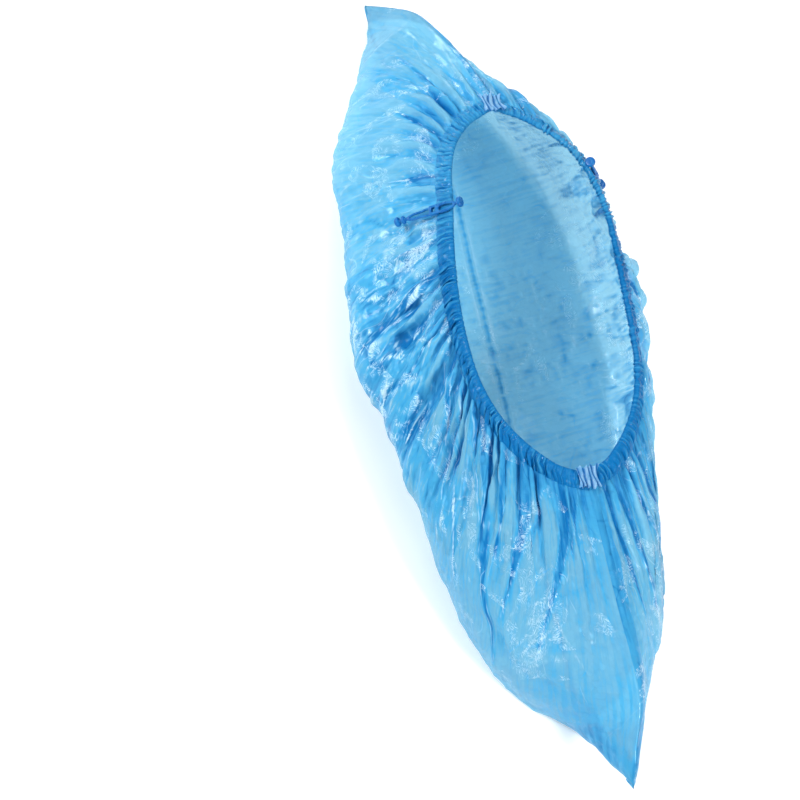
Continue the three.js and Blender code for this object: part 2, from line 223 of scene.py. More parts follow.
# Film under a clip, in millimetres: the level that it is pressed to, how far off it may lie to be pressed,
# the distances across the clip between which it rises again, the clip's middle and the same along the clip
CLIP_BED, CLIP_NEAR, CLIP_SIDES, CLIP_MIDDLE, CLIP_ENDS = -1.25, 14, (2.6, 8), -10, (20, 26)


def seat_of(name, above, on_film=False):
    """Axes and place of a CAD piece on the rim: X along it, Y up out of the wall, Z out of the film."""
    points = np.array([corner.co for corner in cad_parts[name].data.vertices]) / MM
    points = np.unique(points.round(3), axis=0)
    up, out = np.linalg.svd(points - points.mean(axis=0), full_matrices=False)[2][[0, 2]]
    up, out = up * np.sign(up[2]), out * np.sign(out[2])
    axes = np.array([np.cross(up, out), up, out])
    low, high = (points @ axes.T).min(axis=0), (points @ axes.T).max(axis=0)
    place = (low + high) / 2
    place[1] = high[1] - above
    if on_film:
        place[2] = low[2]
    return axes, place @ axes


CLIP_SEATS = {name: seat_of(name, CLIP_ABOVE) for name in ("clip_left", "clip_right")}
TAB_SEATS = {name: seat_of(name, TAB_ABOVE, on_film=True) for name in ("heel_tab", "toe_tab")}


def seat_matrix(seat):
    """A seat's axes and place as a matrix in metres."""
    axes, place = seat
    matrix = Matrix(axes.tolist()).transposed().to_4x4()
    matrix.translation = Vector(place) * MM
    return matrix


# Settings

def colour_setting(name, description, default):
    """A colour to be set."""
    return bpy.props.FloatVectorProperty(
        name=name, description=description, subtype="COLOR", size=4, min=0, max=1, default=(*default, 1))


def length_setting(name, description, default):
    """A length to be set, in metres."""
    return bpy.props.FloatProperty(name=name, description=description, default=default, unit="LENGTH")


def share_setting(name, description, default):
    """A share to be set, from 0 to 1."""
    return bpy.props.FloatProperty(
        name=name, description=description, default=default, min=0, max=1, subtype="FACTOR")


class FilmSettings(bpy.types.PropertyGroup):
    """Sizes and finish of the film bag"""
    cut_length: length_setting("Cut length", "Length of the flat bag", 0.42)
    cut_height: length_setting("Cut height", "Height of each wall of the flat bag", 0.15)
    colour: colour_setting("Colour", "Colour of one layer of film", (0.27, 0.64, 0.82))
    # Painted shade in folds, creases, facets and some zones also takes the film along these colours
    double_colour: colour_setting(
        "Double colour", "Colour where two layers of film lie together", (0.068, 0.435, 0.76))
    deep_colour: colour_setting(
        "Deep colour", "Colour where the film is gathered in many layers", (0.002, 0.16, 0.45))
    # Colour of painted glints and highlights, partly whitened creases
    glint_and_whitening_colour: colour_setting("Crease colour", "Colour of the fine whitened creases", (0.66, 0.90, 1.0))
    tint: colour_setting("Tint", "Colour of the light that comes straight through", (0.50, 0.84, 0.98))
    opacity: share_setting("Opacity", "Share of light that one layer stops", 0.62)
    roughness: share_setting("Roughness", "Roughness of the film's surface", 0.14)


class ElasticSettings(bpy.types.PropertyGroup):
    """Sizes and finish of the elastic in the hem"""
    radius: length_setting("Radius", "Radius of the elastic", 0.0009)
    colour: colour_setting("Colour", "Colour of the elastic", (0.16, 0.46, 0.80))
    bloom_colour: colour_setting("Bloom colour", "Colour of the elastic's chalky bloom", (0.55, 0.74, 0.92))


class TabSettings(bpy.types.PropertyGroup):
    """Sizes and finish of the pleated tabs"""
    width: length_setting("Width", "Width of a tab along the rim", 0.0096)
    height: length_setting("Height", "Height of a tab across the hem", 0.0096)
    wall: length_setting("Wall", "Thickness of the tab's film", 0.00012)
    colour: colour_setting("Colour", "Colour of the tab's film", (0.42, 0.72, 0.95))
    cloud_colour: colour_setting("Cloud colour", "Colour of the tab's deeper patches", (0.20, 0.52, 0.82))
    # Colour of the painted shade between the tab's folds
    gap_shade_colour: colour_setting("Gap colour", "Colour deep between the tab's folds", (0.012, 0.19, 0.52))
    tint: colour_setting("Tint", "Colour of the light that comes straight through", (0.66, 0.86, 0.97))
    opacity: share_setting("Opacity", "Share of light that the tab's film stops", 0.82)


class ClipSettings(bpy.types.PropertyGroup):
    """Sizes and finish of the moulded clips"""
    colour: colour_setting("Colour", "Colour of the moulded plastic", (0.005, 0.12, 0.40))
    flow_colour: colour_setting("Flow colour", "Colour of the plastic's flow marks", (0.012, 0.24, 0.58))
    moulding: length_setting("Moulding", "How finely the moulded shape is drawn", 0.00022)


class StageSettings(bpy.types.PropertyGroup):
    """The floor, the light and the camera"""
    floor_size: length_setting("Floor", "Side of the floor", 6.0)
    floor_colour: colour_setting("Floor colour", "Colour of the floor", (0.9, 0.9, 0.9))
    grain_colour: colour_setting("Grain colour", "Colour of the floor's grain", (0.86, 0.87, 0.88))
    light: bpy.props.FloatProperty(
        name="Light", description="Strength of all the lamps together", default=0.89, min=0)


# Lines and surfaces of the bag

def spline(points, places):
    """Points of the smooth curve through the given points, at places from 0 to 1 along it."""
    last = len(points) - 1
    x = np.clip(places, 0, 1) * last
    k = np.minimum(x.astype(int), last - 1)
    f = (x - k).reshape((-1,) + (1,) * (points.ndim - 1))
    ends = 2 * points[:1] - points[1:2], 2 * points[-1:] - points[-2:-1]
    padded = np.concatenate([ends[0], points, ends[1]])
    a, b, c, d = (padded[k + n] for n in range(4))
    return b + 0.5 * f * (c - a + f * (2 * a - 5 * b + 4 * c - d + f * (3 * (b - c) + d - a)))


def run_of(points):
    """Distance along a line of points, from its start to each of them."""
    steps = np.linalg.norm(np.diff(points, axis=0), axis=1)
    return np.concatenate([[0], np.cumsum(steps)])


def spread(points, shares):
    """Points at the given shares of the length of a line of points."""
    run = run_of(points)
    return np.stack([np.interp(shares * run[-1], run, points[:, k]) for k in range(3)], axis=1)


def unit(vectors):
    """Vectors at length one."""
    return vectors / (np.linalg.norm(vectors, axis=-1, keepdims=True) + 1e-9)


def guide_curves():
    """The lines along the bag from the left rim down over the keel and up to the right rim."""
    at = SECTION
    edge_x = (at["keel_x"] + at["belly_x"]) / 2
    edge_y = (1 - SOLE_EDGE) * at["keel_y"] + SOLE_EDGE * at["belly_y"]
    keel = at["keel_x"], at["keel_y"], at["keel_z"]
    walls = []
    for side, name in ((-1, "left"), (1, "right")):
        walls.append([
            (edge_x + side * at["sole_half"], edge_y, at["keel_z"] + at["sole_rise"]),
            (at["belly_x"] + side * at["belly_" + name], at["belly_y"], at["belly_z"]),
            (at["belly_x"] / 2 + side * at["shoulder_" + name], at["shoulder_y"], at["shoulder_z"]),
            (side * at["rim_half"], at["rim_y"], at["rim_z"]),
        ])
    return [np.stack(line, axis=1) for line in walls[0][::-1] + [keel] + walls[1]]


def wall_shares(steps):
    """Heights of the grid's rows up a wall, from 0 at the keel to 1 at the rim."""
    return 1 - (1 - np.linspace(0, 1, steps + 1)) ** RIM_GRADING


def smooth_bag(stations, steps):
    """The bag's surface without gathers as a grid of points, and the length of its two walls."""
    shares, fine = np.linspace(0, 1, stations + 1), np.linspace(0, 1, GUIDE_POINTS)
    guides = np.stack([spread(spline(guide, fine), shares) for guide in guide_curves()])
    heights = wall_shares(steps)
    grid, lengths = [], []
    for section in np.swapaxes(guides, 0, 1):
        profile = spline(section, np.linspace(0, 1, 2 * PROFILE_POINTS + 1))
        profile[:, 2] = np.maximum(profile[:, 2], SOLE_LEVEL)
        left, right = profile[PROFILE_POINTS::-1], profile[PROFILE_POINTS:]
        grid.append(np.concatenate([spread(left, heights)[:0:-1], spread(right, heights)]))
        lengths.append([run_of(left)[-1], run_of(right)[-1]])
    return np.array(grid), np.array(lengths)


def outward(grid):
    """Normals of a grid of points, out of the bag."""
    return unit(np.cross(np.gradient(grid, axis=1), np.gradient(grid, axis=0)))


def ease(value, low, high):
    """0 below low, 1 above high and a smooth step between them."""
    x = np.clip((value - low) / (high - low), 0, 1)
    return x * x * (3 - 2 * x)


def wander(count, knots, seed):
    """A slow seeded wander along a line of points."""
    values = np.random.default_rng(seed).normal(size=(knots + 4, 1))
    return spline(values, np.linspace(0, 1, count))[:, 0]


def crimp(phase):
    """A wave with narrow crests and broad valleys, as thin film gathers."""
    return 0.45 * np.sin(phase) + 0.55 * (4 / np.pi - 2 * np.abs(np.sin(phase / 2 - np.pi / 4)))


def facets(along, up, size, seed):
    """Heights of a crumpled sheet: flat triangles between random points about a size apart."""
    rng = np.random.default_rng(seed)
    count = 97
    heights = rng.uniform(-1, 1, (count, count))
    turn, shift = rng.uniform(0, math.pi), rng.uniform(0, 50)
    x = (along * math.cos(turn) - up * math.sin(turn)) / size + shift
    y = (along * math.sin(turn) + up * math.cos(turn)) / size + shift
    x, y = x + 0.42 * np.sin(1.7 * y) + 0.2 * np.sin(4.1 * y), y + 0.42 * np.sin(1.9 * x)
    i, j = np.floor(x).astype(int), np.floor(y).astype(int)
    u, v = x - i, y - j

    def corner(di, dj):
        return heights[(i + di) % count, (j + dj) % count]

    low = corner(0, 0) + u * (corner(1, 0) - corner(0, 0)) + v * (corner(0, 1) - corner(0, 0))
    high = corner(1, 1) + (1 - u) * (corner(0, 1) - corner(1, 1)) + (1 - v) * (corner(1, 0) - corner(1, 1))
    return np.where(u + v < 1, low, high)


def crumpled(along, up, rows):
    """Heights of a crumpled sheet with facets of several sizes, from rows of height, size and seed."""
    return sum(height * facets(along, up, size, seed) for height, size, seed in rows)


class Sheet:
    """The film's grid with the measures that the gathers, creases and hem need, in millimetres."""

    def __init__(self, finer=1):
        self.stations, self.steps = finer * STATIONS, finer * WALL_STEPS
        self.points, lengths = smooth_bag(self.stations, self.steps)
        self.normals = outward(self.points)
        self.share = np.linspace(0, 1, self.stations + 1)
        heights = wall_shares(self.steps)
        self.height = np.concatenate([-heights[:0:-1], heights])
        self.wall = (self.height > 0).astype(int)
        kernel = np.hanning(HEIGHT_BLUR * self.stations)
        half = len(kernel) // 2
        even = [np.convolve(np.pad(lengths[:, k], (half, len(kernel) - 1 - half), mode="edge"),
                            kernel / kernel.sum(), "valid") for k in (0, 1)]
        cut_height = (np.stack(even, axis=1) * self.from_table(WALL_SLACK))[:, self.wall]
        self.depth = (1 - np.abs(self.height)) * cut_height
        self.up = self.height * cut_height
        self.along = np.repeat(self.share[:, None] * CUT_RUN, len(self.height), axis=1)
        run = np.linalg.norm(np.diff(self.points, axis=0), axis=2).sum(axis=0)
        low = ease(self.depth.mean(axis=0), *RUN_CHANGE)
        self.cut_run = (1 - low) * CUT_RUN + low * SPARE_RUN * run
        self.spacing = np.linalg.norm(np.gradient(self.points, axis=0), axis=2)
        spacing = np.maximum(self.spacing, LEAST_SPACING)
        self.gather = np.clip(CUT_RUN / self.stations / spacing, 1, MOST_GATHER)
        self.near_weld = np.clip(np.minimum(self.share, 1 - self.share) / WELD_SHARE, 0, 1)[:, None]
        self.loose = self.from_table(LOOSENESS)

    def from_table(self, table):
        """Values along the bag, as a column for the grid."""
        return np.interp(self.share, *table)[:, None]

    def on_walls(self, values):
        """Values along the bag for the left and the right wall, laid out on the grid."""
        return np.stack(values, axis=1)[:, self.wall]

    def wander(self, knots, seed):
        """A slow seeded wander along each wall."""
        return self.on_walls([wander(len(self.share), knots, seed + side) for side in (0, 1)])

    def ruffle(self, waves):
        """Height of waves along the sheet that take up its spare length."""
        length = CUT_RUN / waves / self.gather
        return length / (2 * np.pi) * np.sqrt(2 * (self.gather**2 - 1))

    def gathers(self):
        """How far the gathers lift the sheet: fine waves at the rim that join into long folds below."""
        lift, depth = np.zeros(self.points.shape[:2]), self.depth
        front, deepest = ease(self.share, *FRONT)[:, None], self.from_table(FOLD_REACH)
        for level, (waves, top, bottom, top_more, bottom_more, part, front_part) in enumerate(GATHERS):
            if level == 0:
                weight = np.clip(1 - depth / bottom, 0, 1)
                phase = self.on_walls([hem_phase(self.share, side) for side in (0, 1)])
            else:
                top = top * (1 + top_more * front)
                bottom = np.minimum(bottom * (1 + bottom_more * front), deepest)
                rise, fall = (depth - 0.6 * top) / (0.7 * top), (1.25 * bottom - depth) / (0.5 * bottom)
                weight = np.clip(np.minimum(rise, fall), 0, 1)
                weight *= np.clip(0.9 + 0.45 * self.wander(2 * waves, 20 + 10 * level), 0.2, 1.6)
                phase = 2 * np.pi * (waves * self.share[:, None] + 0.35 * self.wander(waves, 10 * level))
            size = self.ruffle(waves) * (part + front_part * front)
            size = size * (self.loose if level >= LOOSE_FOLDS else 1)
            lift += weight * size * crimp(phase)
        return lift * self.near_weld

    def pleats(self):
        """Strips of film that lie folded flat on the sheet, from 0 beside them to 1 on them."""
        strips = np.zeros(self.points.shape[:2])
        run = np.maximum(self.spacing * self.stations, 60)
        for number, (side, rim_share, far_share, reach, width) in enumerate(PLEATS):
            middle = rim_share + (far_share - rim_share) * ease(self.depth, 0, 1.1 * reach)
            middle = middle + 0.0016 * np.sin(0.09 * self.depth + 1.7 * number)
            away = np.abs(self.share[:, None] - middle) * run
            half = 0.65 * width * (1.15 - 0.85 * ease(self.depth, 0.1 * reach, reach))
            strip = (1 - ease(away, half - 0.4, half + 0.5)) * (1 - ease(self.depth, 0.9 * reach, reach))
            strip = (self.wall == side) * strip * (1 if width < WIDE_PLEAT else WIDE_SHARE)
            strips = np.maximum(strips, strip)
        return strips * self.near_weld

    def double_and_shaded_zones(self):
        """How deep the film looks away from the hem: where it lies crowded or doubled, and painted shade
        where it tucks under in folds.
        """
        crowded = np.zeros(self.points.shape[:2])
        ragged = crumpled(self.along, self.up, ZONE_EDGE)
        for side, share, depth, reach, height, strength in DOUBLE_AND_SHADED_ZONES:
            off = np.hypot((self.share[:, None] - share) * CUT_RUN / reach, (self.depth - depth) / height)
            zone = strength * (1 - ease(off + ragged, 0.45, 1.1)) * (self.wall == side)
            crowded = np.maximum(crowded, zone)
        return crowded

    def long_creases(self):
        """Heights of the long creases, sharp along their middles."""
        heights = np.zeros(self.points.shape[:2])
        for side, share, depth, far_share, far_depth, height in CREASES:
            run = np.array([(far_share - share) * CREASE_SPAN, far_depth - depth])
            x, y = (self.share[:, None] - share) * CREASE_SPAN, self.depth - depth
            part = np.clip((x * run[0] + y * run[1]) / (run @ run), 0, 1)
            away = np.hypot(x - part * run[0], y - part * run[1])
            taper = np.sqrt(np.sin(np.pi * (0.08 + 0.84 * part)))
            heights += (self.wall == side) * height * taper * np.exp(-away / CREASE_SPREAD)
        return heights

    def slack_mask(self):
        """Where the film hangs slack enough to crumple, from 0 to 1."""
        return self.from_table(CRUMPLING) * ease(self.depth, 3, 22)

    def sole(self, reach):
        """Which points lie on the sole, within a reach from the keel."""
        return (np.abs(self.up) < reach) & (self.points[..., 2] < ON_SOLE)


def hem_phase(share, side):
    """Phase of the hem's ruffles along one side, a little uneven."""
    waves = GATHERS[0][0]
    uneven = 0.3 * wander(len(share), waves // 2, 40 + side) + 0.1 * wander(len(share), waves, 42 + side)
    return 2 * np.pi * (waves * share + uneven)


# Meshes

# Order of a face's corners that turns it over
TURNED = [0, 3, 2, 1]


def numbered(points):
    """Numbers of a grid's points, in the same layout."""
    return np.arange(points[..., 0].size).reshape(points.shape[:2])


def quads(ids):
    """Faces with four corners between the neighbours in a grid of point numbers."""
    return np.stack([ids[:-1, :-1], ids[:-1, 1:], ids[1:, 1:], ids[1:, :-1]], axis=2).reshape(-1, 4)


def mesh_object(name, points, faces):
    """A new mesh object in the scene, from points and a list of faces."""
    mesh = bpy.data.meshes.new(name)
    mesh.from_pydata(points.reshape(-1, 3).tolist(), [], faces)
    piece = bpy.data.objects.new(name, mesh)
    bpy.context.collection.objects.link(piece)
    return piece


@contextmanager
def reshaped(mesh):
    """Opens a mesh to bmesh's operators and writes the result back."""
    shape = bmesh.new()
    shape.from_mesh(mesh)
    yield shape
    shape.to_mesh(mesh)
    shape.free()


def keep_measure(mesh, name, values):
    """Keeps a value for each point on a mesh, where its material finds it."""
    mesh.attributes.new(name, "FLOAT", "POINT").data.foreach_set("value", values)


def discard(piece):
    """Removes an object and its mesh."""
    mesh = piece.data
    bpy.data.objects.remove(piece)
    bpy.data.meshes.remove(mesh)


# The film by cloth simulation

def settle(sheet, start):
    """Lets the gathered sheet settle around the foot form, held at its rim, welds and sole."""
    ids = numbered(start)
    for end in (0, -1):
        ids[end, sheet.steps + 1:] = ids[end, :sheet.steps][::-1]
    shape = ids.shape
    used, ids = np.unique(ids, return_inverse=True)
    ids = ids.reshape(shape)
    flat = np.stack([np.broadcast_to(0.2 * np.sign(sheet.height), shape),
                     (0.5 - sheet.share)[:, None] * sheet.cut_run, np.abs(sheet.up)], axis=2)
    flat[0, :, 0] = flat[-1, :, 0] = 0
    worn = mesh_object("settling", start.reshape(-1, 3)[used] * SIM_SCALE, quads(ids).tolist())
    worn.shape_key_add(name="worn")
    cut = worn.shape_key_add(name="cut")
    cut.data.foreach_set("co", (flat.reshape(-1, 3)[used] * SIM_SCALE).ravel())
    held = sheet.sole(HELD_SOLE)
    held[:, 0] = held[:, -1] = held[0] = held[-1] = True
    worn.vertex_groups.new(name="held").add(np.unique(ids[held]).tolist(), 1.0, "REPLACE")

    form = foot_form()
    form.modifiers.new("form", "COLLISION")
    form.collision.thickness_outer, form.collision.thickness_inner = CLOTH_GAP, 0.1
    form.collision.cloth_friction = 2
    cloth = worn.modifiers.new("film", "CLOTH")
    for name, value in CLOTH.items():
        setattr(cloth.settings, name, value)
    cloth.settings.vertex_group_mass = "held"
    cloth.settings.rest_shape_key = cut
    cloth.settings.effector_weights.gravity = 0
    cloth.collision_settings.distance_min = CLOTH_GAP
    cloth.point_cache.frame_start, cloth.point_cache.frame_end = 1, SIM_FRAMES + 5
    scene = bpy.context.scene
    for number in range(1, SIM_FRAMES + 1):
        scene.frame_set(number)
    settled = worn.evaluated_get(bpy.context.evaluated_depsgraph_get())
    places = np.empty(3 * len(used))
    settled.data.vertices.foreach_get("co", places)
    scene.frame_set(1)
    discard(worn)
    discard(form)
    return (places.reshape(-1, 3) / SIM_SCALE)[ids]


def foot_form():
    """The rounded form inside the film, for the simulation only."""
    around, rings = 32, 60
    length = np.linspace(FORM_ROWS[0, 0], FORM_ROWS[-1, 0], rings)
    half, height = (np.interp(length, FORM_ROWS[:, 0], FORM_ROWS[:, k]) for k in (1, 2))
    turn = np.linspace(0, 2 * np.pi, around, endpoint=False)
    rounded = [np.sign(f) * np.abs(f) ** 0.55 for f in (np.cos(turn), np.sin(turn))]
    points = np.stack([half[:, None] * rounded[0], np.repeat(length[:, None], around, axis=1),
                       height[:, None] / 2 * (1 + rounded[1]) + 1.5], axis=2)
    ids = numbered(points)
    faces = quads(np.pad(ids, ((0, 0), (0, 1)), mode="wrap"))[:, TURNED].tolist()
    form = mesh_object("form", points * SIM_SCALE, faces + [ids[0].tolist(), ids[-1][::-1].tolist()])
    with reshaped(form.data) as shape:
        bmesh.ops.recalc_face_normals(shape, faces=shape.faces)
    return form


def doubled(grid):
    """The same surface with a point between each two, along both directions."""
    for axis in (0, 1):
        lines = np.moveaxis(grid, axis, 0)
        places = np.linspace(0, 1, 2 * len(lines) - 1)
        grid = np.moveaxis(spline(lines, places), 0, axis)
    return grid


def press_under_clips(points):
    """Lays the film flat under each clip."""
    for axes, place in CLIP_SEATS.values():
        x, y, z = np.moveaxis((points - place) @ axes.T, -1, 0)
        near = (1 - ease(np.abs(x), *CLIP_SIDES)) * (1 - ease(np.abs(y - CLIP_MIDDLE), *CLIP_ENDS))
        push = np.minimum(z, CLIP_BED) - z
        points = points + (near * (np.abs(z) < CLIP_NEAR) * push)[..., None] * axes[2]
    return points


class Patches:
    """Grids of points that are joined into one mesh where they meet."""

    def __init__(self):
        self.points, self.cut, self.faces = [], [], []
        self.measures = {"gathered": [], "fold_shade_and_layers": [], "bend": [], "crinkle": []}
        self.count = 0

    def add(self, points, cut, measures, closed=False):
        """One grid in millimetres, its place on the flat cut and its measures, from 0 to 1."""
        ids = numbered(points) + self.count
        self.count += ids.size
        if closed:
            ids = np.concatenate([ids, ids[:1]])
        self.faces.append(quads(ids))
        self.points.append(points.reshape(-1, 3))
        self.cut.append(cut.reshape(-1, 2))
        for label, kept in self.measures.items():
            kept.append(np.broadcast_to(measures[label], points.shape[:2]).ravel())

    def build(self, name):
        """The mesh object in metres, with a UV map of the flat cut and each point's measures."""
        cut, faces = np.concatenate(self.cut) * MM, np.concatenate(self.faces)
        piece = mesh_object(name, np.concatenate(self.points) * MM, faces.tolist())
        mesh = piece.data
        mesh.uv_layers.new(name="cut").data.foreach_set("uv", cut[faces.ravel()].ravel())
        for label, measures in self.measures.items():
            keep_measure(mesh, label, np.concatenate(measures))
        with reshaped(mesh) as shape:
            bmesh.ops.remove_doubles(shape, verts=shape.verts, dist=1e-6)
        mesh.shade_smooth()
        return piece


# Place of the elastic's middle: its height above the film's edge and its distance inward, in millimetres
ELASTIC_RISE, ELASTIC_IN = 1.9, 0.5


class Rim:
    """The closed line of the opening, down the left side and back up the right, with its directions."""

    def __init__(self, sheet):
        points, normals = sheet.points, sheet.normals
        self.place = self.soften(self.loop(points[:, 0], points[:, -1]), 3)
        along = unit(np.roll(self.place, -1, axis=0) - np.roll(self.place, 1, axis=0))
        up = self.soften(unit(self.loop(points[:, 0] - points[:, 3], points[:, -1] - points[:, -4])), 9)
        self.up = unit(up - np.sum(up * along, axis=1, keepdims=True) * along)
        out = np.cross(along, self.up)
        outside = self.soften(self.loop(normals[:, 0], normals[:, -1]), 9)
        self.out = out * np.sign(np.sum(out * outside, axis=1, keepdims=True))
        beads = (np.sin(hem_phase(sheet.share, side) + 1.1) * sheet.near_weld[:, 0] for side in (0, 1))
        self.beads = self.loop(*beads)

    @staticmethod
    def loop(left, right):
        """Values along the left side and back along the right, with the welds once."""
        return np.concatenate([left, right[-2:0:-1]])

    @staticmethod
    def soften(values, reach):
        """The average of each point with its neighbours round the loop."""
        return sum(np.roll(values, k, axis=0) for k in range(-reach, reach + 1)) / (2 * reach + 1)

    @property
    def elastic(self):
        """The middle line of the elastic, just above the film's edge."""
        return self.place + ELASTIC_RISE * self.up - ELASTIC_IN * self.out


# Casing of the elastic, which is the film's edge folded over and welded to it: lines from its lower edge up
# the outside, over the elastic and down the inside. Each line has the film's column that it follows or None,
# the height above the rim and the distance out of the film in millimetres, and the share of the ruffles
CASING_LINES = (
    (5, 0, 0.25, 0.5), (4, 0, 0.95, 1.0), (3, 0, 1.25, 1.0), (2, 0, 1.3, 0.95), (1, 0, 1.2, 0.85),
    (None, 0.3, 1.15, 0.8), (None, 1.3, 1.1, 0.7), (None, 2.2, 0.95, 0.6), (None, 3.0, 0.5, 0.5),
    (None, 3.3, -0.3, 0.45), (None, 3.1, -1.15, 0.45), (None, 2.2, -1.8, 0.55), (None, 1.0, -1.9, 0.7),
    (1, 0, -1.5, 0.8), (2, 0, -1.4, 0.9), (4, 0, -1.2, 1.0),
)
CASING_STATIONS = 2000
# Distance between two of these lines on the flat cut, and the first one's place up it, in millimetres
CASING_STEP, CASING_CUT = 1.1, 160
# How crowded the casing looks: at the heel, added at the front, and the shares of its half between them
CASING_CROWDING, CASING_FRONT = (0.8, 0.34), (0.22, 0.5)
# Ruffles of the casing: waves all the way round, their height in millimetres and how uneven they are
CASING_RUFFLES = ((150, 0.52, 1.5), (330, 0.24, 1.8))
# Rows of the film from a weld that its folded edge lies over, and how far it stands off them in millimetres
FLANGE_ROWS, FLANGE_STAND = np.array([0, 1, 3, 5, 7, 9]), np.array([0.03, 0.5, 0.9, 1.0, 1.0, 0.7])
FLANGE_MEASURES = {"gathered": 0.62, "fold_shade_and_layers": 0.5, "bend": 0.5, "crinkle": 0.5}


def blurred(grid, reach):
    """A grid averaged along the bag, over a reach in stations."""
    kernel = np.hanning(2 * reach + 1)
    kernel /= kernel.sum()
    flat = grid.reshape(len(grid), -1)
    wide = np.pad(flat, ((reach, reach), (0, 0)), mode="edge")
    return sum(kernel[k] * wide[k:k + len(flat)] for k in range(len(kernel))).reshape(grid.shape)


def fold_depth(film, normals):
    """How deep each point lies in a fold, from 0 on the crests to 1 in the valleys."""
    height = sum(weight * np.sum((film - blurred(film, reach)) * normals, axis=2)
                 for reach, weight in FOLD_VIEWS)
    return np.clip(0.5 - height, 0, 1)


def round_wander(count, highest, seed):
    """A seeded wander around a closed line, about one high."""
    rng = np.random.default_rng(seed)
    turn = np.linspace(0, 2 * np.pi, count, endpoint=False)
    waves = rng.integers(2, highest, 24)
    return sum(np.sin(k * turn + f) for k, f in zip(waves, rng.uniform(0, 6.3, 24))) / math.sqrt(12)


def resampled(line, count):
    """A closed line's values at an even count of places along it."""
    x = np.arange(count) * len(line) / count
    k = x.astype(int)
    f = (x - k)[:, None]
    return line[k] * (1 - f) + np.roll(line, -1, axis=0)[k] * f


def casing(rim, film, patches):
    """Adds the casing that is folded over the elastic, with fine uneven ruffles that lean along it."""
    count = CASING_STATIONS
    base, facing = blurred(film, 2), outward(blurred(film, 5))
    place, up, out = (resampled(line, count) for line in (rim.place, rim.up, rim.out))
    turn = np.linspace(0, 2 * np.pi, count, endpoint=False)
    lean = 0.45 + 0.3 * round_wander(count, 14, 71)
    strength = np.clip(0.85 + 0.5 * round_wander(count, 60, 72), 0.2, 1.8)
    run = CASING_STEP * np.arange(len(CASING_LINES))
    lines, ruffle_shade = [], []
    for climb, (column, height, stand, share) in zip(run, CASING_LINES):
        if column is None:
            middle, direction = place + height * up, out
        else:
            middle, direction = (resampled(rim.loop(grid[:, column], grid[:, -1 - column]), count)
                                 for grid in (base, facing))
        ruffle = 0
        for layer, (waves, size, uneven) in enumerate(CASING_RUFFLES):
            phase = waves * turn + uneven * round_wander(count, 90, 73 + layer) + lean * climb
            ruffle = ruffle + size * crimp(phase)
        ruffle = ruffle * strength * share
        lines.append(middle + (stand + np.sign(stand) * ruffle)[:, None] * direction)
        # Painted shade in the ruffles' valleys, where the layers also overlap
        ruffle_shade.append(np.clip(0.5 - 0.6 * ruffle, 0, 1))
    grid = press_under_clips(np.stack(lines, axis=1))
    cut = np.stack(np.broadcast_arrays((turn / np.pi * CUT_RUN)[:, None], CASING_CUT + run), axis=2)
    forward = 1 - np.abs(turn / np.pi - 1)
    crowded = CASING_CROWDING[0] + CASING_CROWDING[1] * ease(forward, *CASING_FRONT)[:, None]
    measures = {"gathered": crowded, "fold_shade_and_layers": np.stack(ruffle_shade, axis=1)[:, ::-1], "bend": 0.5, "crinkle": 0}
    patches.add(grid[:, ::-1], cut[:, ::-1], measures, closed=True)


def held_in(film, sheet):
    """The film with its bulges held near the bag's smooth form, most closely where it is pulled taut."""
    offset = np.sum((film - sheet.points) * sheet.normals, axis=2)
    room, below = sheet.from_table(ROOM_OUT), sheet.from_table(ROOM_IN)
    at_rim = 1 - ease(sheet.depth, *NEAR_RIM)
    rim_below, rim_room = (least + more * sheet.depth for least, more in (RIM_ROOM_IN, RIM_ROOM_OUT))
    below = at_rim * rim_below + (1 - at_rim) * below
    room = at_rim * np.minimum(rim_room, room) + (1 - at_rim) * room
    spare = np.maximum(offset - room, 0) + np.minimum(offset + below, 0)
    return film - (PRESSED_BACK * spare)[..., None] * sheet.normals


def creased(sheet):
    """Heights of the creases that stay in the film, in flat facets of several sizes."""
    along, up, depth = sheet.along, sheet.up, sheet.depth
    patches = ease(crumpled(along, up, CREASE_PATCHES), -0.4, 0.4)
    slack = (0.25 + 0.75 * sheet.slack_mask()) * sheet.loose
    large, small = crumpled(along, up, LARGE_CREASES), crumpled(along, up, SMALL_CREASES)
    lean = np.where(sheet.wall == 0, 1.0, -1.0) * np.abs(up)
    runs = sum(height * facets(stretch * along + tilt * lean, rise * lean, size, seed)
               for height, stretch, tilt, rise, size, seed in LEANING_CREASES)
    runs *= sheet.from_table(LEANING) * (1 - 0.85 * ease(depth, 70, 100))
    return (large * slack + small * slack * (0.25 + 0.75 * patches) + runs) * ease(depth, 6, 18)


def bends(heights):
    """Where the film is folded sharply: above 0.5 in the bottom of a crease, below it along a ridge."""
    wide = np.pad(heights, 1, mode="edge")
    around = wide[2:, 1:-1] + wide[:-2, 1:-1] + wide[1:-1, 2:] + wide[1:-1, :-2]
    return np.clip(0.5 + 1.3 * (around / 4 - heights), 0, 1)


def gathered_start(sheet):
    """The sheet before it settles, with its gathers and crumples."""
    crumple = crumpled(sheet.along, sheet.up, START_CRUMPLE)
    crumple *= sheet.slack_mask() * (sheet.loose * sheet.near_weld)
    on_sole = -np.abs(crumpled(sheet.along, sheet.up, SOLE_CRUMPLE))
    lift = sheet.gathers() + np.where(sheet.sole(CRUMPLED_SOLE), on_sole, crumple)
    start = sheet.points + lift[..., None] * sheet.normals
    rng = np.random.default_rng(SHEET_RNG_SEED)
    start[:, 1:-1] += 0.08 * rng.normal(size=start[:, 1:-1].shape)
    start[..., 2] = np.maximum(start[..., 2], SOLE_LEVEL)
    close_welds(start)
    return start


def close_welds(grid):
    """Brings the two walls together at the welds."""
    for end in (0, -1):
        grid[end] = (grid[end] + grid[end][::-1]) / 2


